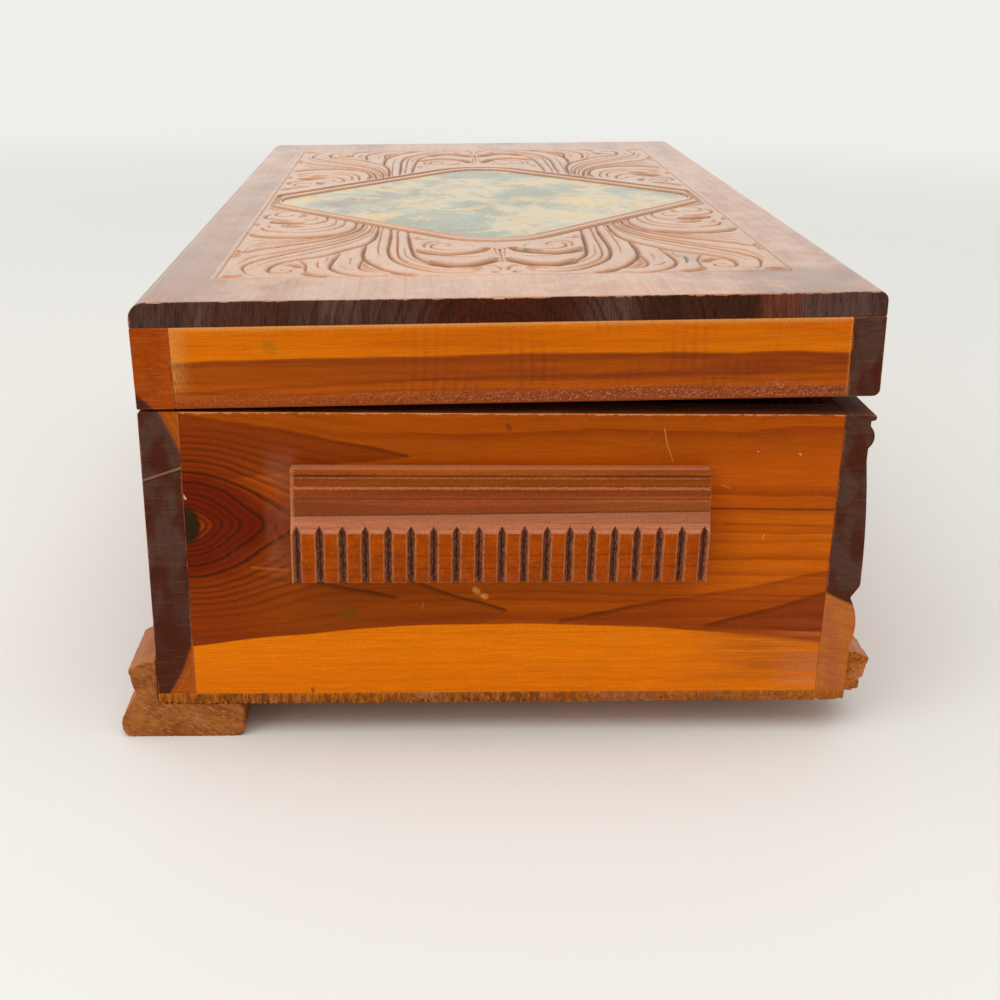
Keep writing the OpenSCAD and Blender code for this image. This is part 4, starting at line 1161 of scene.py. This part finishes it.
def mouldingWood(name, nodeName, arris=False):
    made, where, facing = startMaterial(name)
    low, high = nodeBox(nodeName)
    x, y, z = where.parts()
    up = z - low.z
    old = oldVarnish(where, 0.6)
    flat = join(y, x, z)
    rings = cedarRings(flat, (0, -100, 20), 2.7, 3, 0.016)
    bandTop = moulding["bandTop"]
    fasciaLow = moulding["fasciaLow"]
    inBand = up.rise(bandTop + 2.2, bandTop + 1.6)
    # distance from the nearest flute's middle line, narrowing to a point at its tip
    span = (high.y - low.y - 2 * moulding["fluteIn"]) / moulding["flutes"]
    turn = (y - (low.y + moulding["fluteIn"])) / span
    aside = abs(turn - calc("ROUND", turn)) * span
    reach = up.rise(bandTop, bandTop + 1.9, 0.92, 0)
    groove = (reach - aside).rise(-0.02, 0.22)
    hairy = where.noise((2, 2.6, 0.9), 3, 0.75)
    tone = where.noise((0.2, 0.3, 0.35), 3, 0.6).rise(0.38, 0.62)
    face = mix(tone, moulding["face"], moulding["faceDeep"])
    for height, lean in ((6.3, 0.008), (3.4, 0.01)):
        line = abs(up - (height - y * lean)).rise(0.3, 0.08)
        face = mix(line * 0.5, face, (104, 40, 8))
    face = mix(hairy.rise(0.55, 0.72) * 0.35, face, (214, 122, 46))
    # the flutes are painted dark, darkest along their middle: dirt, and painted shade down in the flutes
    dark = mix(hairy.rise(0.4, 0.62), moulding["grooveDeep"], moulding["groove"])
    dark = mix(hairy.rise(0.6, 0.74) * 0.6, dark, (150, 106, 92))
    wood = mix(groove, face, dark)
    seam = groove * (aside + hairy * 0.3).rise(0.42, 0.2)
    wood = mix(seam * 0.8, wood, (48, 28, 24))
    lip = aside.rise(1.25, 1) * aside.rise(0.72, 0.86) * inBand * hairy.rise(0.38, 0.58)
    wood = mix(lip * 0.5, wood, moulding["pale"])
    overBand = (up + hairy * 0.5).rise(bandTop + 0.1, bandTop + 0.5) * groove.rise(0.6, 0.3)
    # the lower part of the cove is painted pale, a painted sheen where it faces up; it ends at a line of
    # grain, which climbs a little towards the front
    overLine = up + y * 0.012 - moulding["coveLine"]
    upper = mix(y.rise(15, 42, 0, 0.3), moulding["coveUpper"], (116, 50, 32))
    upper = mix(y.rise(-5, -30, 0, 0.6), upper, (174, 94, 40))
    cove = mix(overLine.rise(-0.1, 0.15), moulding["cove"], upper)
    cove = mix(abs(overLine).rise(0.24, 0.05) * 0.8, cove, (84, 38, 26))
    upperLine = abs(up - (fasciaLow - 0.5)).rise(0.26, 0.05)
    cove = mix(upperLine * 0.6, cove, (86, 36, 20))
    wood = mix(overBand, wood, cove)
    wood = mix(up.rise(fasciaLow - 0.1, fasciaLow + 0.1), wood, moulding["fascia"])
    cap = up.rise(moulding["capLow"] + 0.2, moulding["capLow"] + 0.7)
    capColour = mix(rings["Tone"].rise(0.38, 0.62), moulding["cap"], moulding["fascia"])
    wood = mix(cap, wood, capColour)
    wood = mix(rings["Lines"] * up.rise(12, 14, 0.15, 0.5), wood, (92, 38, 20))
    # pale on the jagged ends, chalky wear, and on the upward faces of the cap's top shelf, a painted sheen
    worn = (abs(facing[1]) + hairy * 0.5).rise(0.85, 1.2)
    shelfSheen = (facing[2] + hairy * 0.4).rise(0.9, 1.2)
    pale = highest(worn, shelfSheen) * 0.6
    if arris:
        pale = where.noise((1.6, 1.6, 1.6), 3, 0.75).rise(0.36, 0.62, 0.05, 0.7)
    frayed = high.y - y + hairy * 1.2
    pale = highest(pale, frayed.rise(1.6, 0.9, 0, 0.6))
    wood = mix(pale, wood, moulding["pale"])
    grain = rings["Fibre"].rise(0.25, 0.75, 0.86, 1.12)
    wood = dim(wood, grain * old["Pores"].rise(0.3, 0.7, 0.84, 1.14))
    wood = mix(old["Specks"] * 0.6, wood, moulding["pale"])
    rough = 0.36 + highest(groove, overBand) * 0.22 + old["Dull"] * 0.1
    return surface(made, wood, rough, hairy * 0.12 + old["Pores"] * 0.06)


# Sawn and unsanded wood: the feet and the edge of the bottom panel

def roughWood(name, colours, fibre, bareBox=None, slant=0):
    made, where, facing = startMaterial(name)
    x, y, z = where.parts()
    # torn fibres lie aslant
    leaning = join(x, y + z * slant, z - y * slant)
    hairy = leaning.noise(fibre, 4, 0.72)
    patch = leaning.noise((0.11, 0.1, 0.24), 3, 0.65)
    wood = mix(patch.rise(0.4, 0.6), colours["body"], colours["bodyDeep"])
    wood = mix(hairy.rise(0.5, 0.7) * 0.75, wood, colours["light"])
    wood = mix(hairy.rise(0.46, 0.3) * 0.8, wood, colours["dark"])
    mauve = where.noise((0.07, 0.06, 0.12), 3, 0.6).rise(0.5, 0.62)
    wood = mix(mauve * 0.55, wood, colours["mauve"])
    # upward faces are painted paler and pinker, a painted sheen
    upper = facing[2].rise(0.2, 0.8)
    wood = mix(upper * 0.6, wood, colours["top"])
    old = oldVarnish(where, 0.6)
    relief = hairy * 0.22 + old["Pores"] * 0.08
    if bareBox:
        # tufts left by the saw, most of them towards the back, with painted shade between them and a painted
        # highlight on their crowns
        tuft = join(x, y + hairy * 1.2, z).cells((0.5, 0.72, 0.3), 0.9)
        frayed = y.rise(-34, 4, 0.3, 1)
        wood = mix(tuft.rise(0.44, 0.72) * frayed * 0.5, wood, colours["dark"])
        wood = mix(tuft.rise(0.3, 0.08) * frayed * 0.25, wood, colours["light"])
        relief = relief - tuft * frayed * 0.5
        # inside the box the panel shows clean, unvarnished wood
        grown = cedarRings(where, (0, 20, -40), 2.6, 6)
        bare = bareInside(where, *bareBox)
        under = facing[2].rise(-0.6, -0.9)
        raw = mix(grown["Lines"] * 0.7, (206, 142, 96), (162, 82, 56))
        wood = mix(highest(bare, under * 0.85), wood, raw)
    return surface(made, wood, 0.55 + old["Dull"] * 0.15, relief, 0.2)


footWood = dict(body=(166, 98, 46), bodyDeep=(136, 74, 34), light=(198, 134, 80),
                dark=(84, 44, 22), mauve=(164, 106, 82), top=(180, 118, 84))
splitWood = dict(body=(190, 108, 40), bodyDeep=(154, 82, 28), light=(228, 156, 84),
                 dark=(92, 48, 18), mauve=(190, 124, 92), top=(202, 148, 124))
panelWood = dict(body=(178, 96, 12), bodyDeep=(160, 84, 26), light=(204, 134, 68),
                 dark=(66, 32, 12), mauve=(164, 108, 84), top=(204, 134, 68))


def metal(name, bright, leftShade, stain, roughness, lidPiece=False):
    made, where = startMaterial(name, lidPiece)[:2]
    patch = where.noise((0.35, 0.35, 0.35), 4, 0.65)
    fine = where.noise((2.2, 2.2, 2.2), 3, 0.6)
    colour = mix(patch.rise(0.38, 0.6), bright, leftShade)
    colour = mix(fine.rise(0.54, 0.7) * 0.7, colour, stain)
    return surface(made, colour, patch.rise(0.35, 0.65, roughness, roughness + 0.22), fine * 0.02, 0.5,
                  **{"Metallic": fine.rise(0.56, 0.72, 1, 0.6), "Specular Tint": (1, 1, 1, 1)})


# Making the pieces

def easeEdges(piece, width, sharp=32.0, shortest=2.5, arris=None):
    # Softens the sharp long edges and those round the two ends, and leaves nail holes alone
    normals = {}
    for face in piece.data.polygons:
        for key in face.edge_keys:
            normals.setdefault(key, []).append(face.normal.copy())

    def wanted(edge, a, b):
        sides = normals.get(edge.key, [])
        turned = len(sides) == 2 and sides[0].angle(sides[1], 0) > math.radians(sharp)
        atEnd = all(abs(abs(p.x) - halfLength) < 0.01 for p in (a, b))
        return turned and (atEnd or (a - b).length > shortest)

    pickEdges(piece, wanted)
    bpy.ops.mesh.bevel(offset=width * mm, segments=2, clamp_overlap=False,
                       material=-1 if arris is None else arris)
    bpy.ops.object.mode_set(mode="OBJECT")


def chipAway(piece, chips):
    # Splits off small splinters: middle, half sizes and turn of each, in millimetres and degrees
    made = []
    for middle, sizes, turn in chips:
        bpy.ops.object.select_all(action="DESELECT")
        bpy.ops.mesh.primitive_ico_sphere_add(subdivisions=1, radius=mm)
        chip = bpy.context.active_object
        chip.data.transform(Matrix.Translation(Vector(middle) * mm)
                            @ Matrix.Rotation(math.radians(turn), 4, "X")
                            @ Matrix.Diagonal((*sizes, 1)))
        made.append(chip)
    before = len(piece.data.polygons)
    cutAway(piece, made)
    print(piece.name, "chipped:", before, "faces before,", len(piece.data.polygons), "after")


def coat(piece, *materials):
    piece.data.materials.clear()
    for material in materials:
        piece.data.materials.append(material)


lidTop = makeLidTop()
coat(lidTop, lidTopWood("carved_cedar"))
place(lidTop, "lid", "cedar_lid_top", "lid_top")
frame["nodes"]["lid_picture"].data.materials.clear()
coat(frame["nodes"]["lid_picture"], washedPrint("washed_print"))
print("stage: lid top")

# body boards and lid rails: node, body, slot, material
bodyInside = ((-128.85, -69.55, 10.0), (128.85, 68.05, 75.1))
lidInside = ((-129.25, -69.6, 75.0), (129.25, 69.0, 92.4))
boards = [
    ("left_end_board", "base", "cedar_end_boards", endBoardWood("end_board_left", "left_end_board", False)),
    ("right_end_board", "base", "cedar_end_boards", endBoardWood("end_board_right", "right_end_board", True)),
    ("back_board", "base", "cedar_long_boards",
     longWood("back_board_cedar", "back_board", (131.5, 44.5), 67.0, True, darkCedar, bareBox=bodyInside,
              crack=[((76.6, 60.2), (68.0, 63.2), 0.22, (150, 104, 88)),
                     ((76.6, 59.7), (68.0, 62.6), 0.16, (38, 20, 18))])),
    ("front_board", "base", "cedar_long_boards",
     longWood("front_board_cedar", "front_board", (-110.0, 115.0), 89.7, True, frontCedar,
              bareBox=bodyInside)),
    ("lid_left_rail", "lid", "cedar_end_boards", endRailWood("end_rail_left", "lid_left_rail", False)),
    ("lid_right_rail", "lid", "cedar_end_boards", endRailWood("end_rail_right", "lid_right_rail", True)),
    ("lid_back_rail", "lid", "cedar_long_boards",
     longWood("back_rail_cedar", "lid_back_rail", (90.0, 62.0), 21.9, True, railBackCedar, True,
              bareBox=lidInside)),
    ("lid_front_rail", "lid", "cedar_long_boards",
     longWood("front_rail_cedar", "lid_front_rail", (-60.0, 130.0), 200.0, True, darkCedar, True,
              bareBox=lidInside)),
]
# chips along the top of the left end board
boardChips = {"left_end_board": [
    ((-137, -64.5, 75.5), (0.9, 3.6, 0.75), 4), ((-137.1, -57.2, 75.4), (0.7, 0.9, 0.5), 0),
    ((-137, -48, 75.4), (0.7, 1.2, 0.45), 8), ((-137.1, 22, 75.4), (0.6, 2.6, 0.4), 0),
    ((-137, 5, 75.4), (0.6, 1.4, 0.4), 0), ((-137.1, 47, 75.45), (0.6, 2.2, 0.4), 0),
    ((-137, -24, 75.4), (0.6, 1.8, 0.38), 0)]}
for nodeName, body, slotName, material in boards:
    piece = copyOfNode(nodeName, nodeName + "_eased")
    if body == "lid":
        piece.data.transform(toSquare)
    easeEdges(piece, 0.22)
    if nodeName in boardChips:
        chipAway(piece, boardChips[nodeName])
    if body == "lid":
        piece.data.transform(toAjar)
    smoothBy(piece, 32)
    useModifier(piece, "WEIGHTED_NORMAL", keep_sharp=True)
    coat(piece, material)
    place(piece, body, slotName, nodeName)
print("stage: boards and rails")

# bottom panel: the saw tore its lower edge at both ends
random.seed(11)
panel = copyOfNode("bottom_panel", "ragged_bottom_panel")
panelLow, panelHigh = nodeBox("bottom_panel")
tears = []
for end in (-1, 1):
    y = panelLow.y + 1
    while y < panelHigh.y - 1:
        smooth = y < -10 if end < 0 else y > 20
        size = random.uniform(0.3, 0.7) if smooth else random.uniform(0.4, 1.3)
        spot = (end * (halfLength + random.uniform(-0.1, 0.35)), y, panelLow.z + random.uniform(-0.25, 0.1))
        sizes = (random.uniform(0.5, 1.1), random.uniform(0.3, 0.6) * (1.6 if smooth else 1), size)
        tears.append((spot, sizes, random.uniform(-20, 20)))
        y += random.uniform(0.8, 1.5) * (2.2 if smooth else 1)
tears += [((-halfLength - 0.1, -47.4, panelLow.z + 0.1), (1.6, 1.9, 1), 14),
          ((-halfLength - 0.1, -43.6, panelLow.z), (1.3, 1.2, 0.7), -10),
          ((-halfLength, -78, panelLow.z - 0.4), (3.2, 12, 1.1), -4),
          ((-halfLength - 0.1, -30.2, panelLow.z), (1, 1.1, 0.7), 0)]
easeEdges(panel, 0.2)
chipAway(panel, tears)
smoothBy(panel, 32)
coat(panel, roughWood("panel_cedar", panelWood, (1.2, 2.4, 0.9),
                      bareBox=((-130.0, -70.5, 10.5), (130.0, 69.0, 11.2))))
place(panel, "base", "cedar_panel", "bottom_panel")
print("stage: bottom panel")

for nodeName in ("left_end_moulding", "right_end_moulding"):
    piece = copyOfNode(nodeName, nodeName + "_worn")
    coat(piece, mouldingWood(nodeName + "_cedar", nodeName),
         mouldingWood(nodeName + "_arris", nodeName, True))
    easeEdges(piece, 0.16, sharp=40, shortest=0.9, arris=1)
    low, high = nodeBox(nodeName)
    outward = math.copysign(1, low.x)
    chips = []
    for z in moulding["frayed"]:
        chips.append(((outward * random.uniform(140.8, 143.6), low.y + random.uniform(-0.25, 0.05), z),
                      (random.uniform(0.8, 1.6), random.uniform(0.25, 0.6), random.uniform(0.4, 0.9)),
                      random.uniform(-25, 25)))
    chips.append(((outward * 140.6, low.y + 0.1, 63.9), (1.1, 1.2, 0.7), 10))
    chipAway(piece, chips)
    smoothBy(piece, 32)
    place(piece, "base", "cedar_mouldings", nodeName)
print("stage: mouldings")

# feet: sawn across the grain and never sanded
sawGrain = bpy.data.textures.new("sawn grain", "CLOUDS")
sawGrain.noise_scale = 0.9 * mm
sawGrain.noise_depth = 2
footGrain = roughWood("foot_cedar", footWood, (0.9, 0.55, 2.0), slant=0.45)
splitGrain = roughWood("split_foot_cedar", splitWood, (1.6, 1.3, 2.0), slant=-0.3)
for nodeName in ("front_left_foot", "front_right_foot", "back_left_foot", "back_right_foot"):
    broken = nodeName == "front_left_foot"
    piece = copyOfNode(nodeName, nodeName + "_sawn")
    useModifier(piece, "REMESH", mode="VOXEL", voxel_size=(0.34 if broken else 0.45) * mm)
    useModifier(piece, "SMOOTH", iterations=2, factor=0.5)
    useModifier(piece, "DISPLACE", texture=sawGrain, texture_coords="LOCAL", mid_level=0.72,
                strength=(0.6 if broken else 0.34) * mm)
    smoothBy(piece, 60)
    coat(piece, splitGrain if broken else footGrain)
    place(piece, "base", "cedar_feet", nodeName)
    print(piece.name, len(piece.data.polygons), "faces")
print("stage: feet")

brassPaint = ((188, 146, 78), (142, 106, 58), (96, 74, 44), 0.3)
steelPaint = ((150, 146, 140), (112, 106, 100), (112, 70, 46), 0.4)
brass = metal("aged_brass", *brassPaint)
brassLid = metal("aged_brass_lid", *brassPaint, True)
steel = metal("dull_steel", *steelPaint)
steelLid = metal("dull_steel_lid", *steelPaint, True)
hardware = {
    "left_hinge_body_leaf": brass, "right_hinge_body_leaf": brass, "left_hinge_pin": brass,
    "right_hinge_pin": brass, "left_hinge_lid_leaf": brassLid, "right_hinge_lid_leaf": brassLid,
    "body_hinge_screws": brass, "lid_hinge_screws": brassLid, "corner_brads": steel, "panel_brads": steel,
    "foot_brads": steel, "lid_brads": steelLid}
for nodeName, material in hardware.items():
    coat(frame["nodes"][nodeName], material)
print("stage: hinges and nails")

# Floor, backdrop, light and camera

def plainSheet(name, size, location, shade):
    bpy.ops.object.select_all(action="DESELECT")
    bpy.ops.mesh.primitive_plane_add(size=size, location=location)
    sheet = bpy.context.active_object
    sheet.name = name
    material = bpy.data.materials.new(name)
    material.use_nodes = True
    tree = material.node_tree
    shader = tree.nodes["Principled BSDF"]
    shader.inputs["Base Color"].default_value = shade
    shader.inputs["Roughness"].default_value = 0.75
    # far from the box the camera sees the floor run into the pale wall
    far = Flow(put(tree, "TexCoord", {}).outputs["Object"]).vector("LENGTH").rise(0.25, 1.3)
    glow = put(tree, "Emission", {"Color": paint(239, 239, 235), "Strength": 1.0})
    seen = far * put(tree, "LightPath", {}).outputs["Is Camera Ray"]
    blend = put(tree, "MixShader", {0: seen, 1: shader.outputs[0], 2: glow.outputs[0]})
    feed(tree.nodes["Material Output"].inputs["Surface"], blend.outputs[0])
    sheet.data.materials.append(material)
    return sheet


plainSheet("pale_floor", 60, (0, 0, 0), paint(228, 227, 223))

# the world gives the white wall to the camera and to gloss, and a soft even light to the rest
studio = bpy.data.worlds.new("soft_studio")
scene.world = studio
studio.use_nodes = True
studio.node_tree.nodes.clear()
tree = studio.node_tree
rays = put(tree, "LightPath", {}).outputs
seen = highest(Flow(rays["Is Camera Ray"]), highest(Flow(rays["Is Glossy Ray"]), rays["Is Transmission Ray"]))
wall = put(tree, "Background", {"Color": paint(240, 240, 236), "Strength": 1.0})
ambient = put(tree, "Background", {"Color": paint(250, 248, 244), "Strength": 0.62})
blend = put(tree, "MixShader", {0: seen, 1: ambient.outputs[0], 2: wall.outputs[0]})
put(tree, "OutputWorld", {"Surface": blend.outputs[0]})


def softLamp(name, location, target, size, power):
    data = bpy.data.lights.new(name, "AREA")
    data.shape = "RECTANGLE"
    data.size, data.size_y = size
    data.energy = power
    lamp = bpy.data.objects.new(name, data)
    lamp.location = location
    lamp.rotation_mode = "QUATERNION"
    lamp.rotation_quaternion = (Vector(target) - Vector(location)).to_track_quat("-Z", "Y")
    scene.collection.objects.link(lamp)


softLamp("overhead", (-0.35, 0.1, 1.3), (0, 0, 0.05), (1.6, 1.6), 13)
softLamp("side", (-0.9, 1.1, 0.8), (0, 0, 0.05), (0.9, 0.9), 4)

view = bpy.data.cameras.new("camera")
view.lens = 49.453
view.sensor_width = 36
camera = bpy.data.objects.new("camera", view)
yaw, pitch, roll = (math.radians(a) for a in (-3.26365, 20.71413, 1.21252))
ahead = Vector((math.cos(yaw) * math.cos(pitch), math.sin(yaw) * math.cos(pitch), -math.sin(pitch)))
camera.rotation_mode = "QUATERNION"
camera.rotation_quaternion = ahead.to_track_quat("-Z", "Y") @ Quaternion((0, 0, 1), roll)
camera.location = (-0.40638, 0.01758, 0.15825)
scene.collection.objects.link(camera)
scene.camera = camera
scene.view_settings.view_transform = "Standard"
print("stage: floor, light and camera")
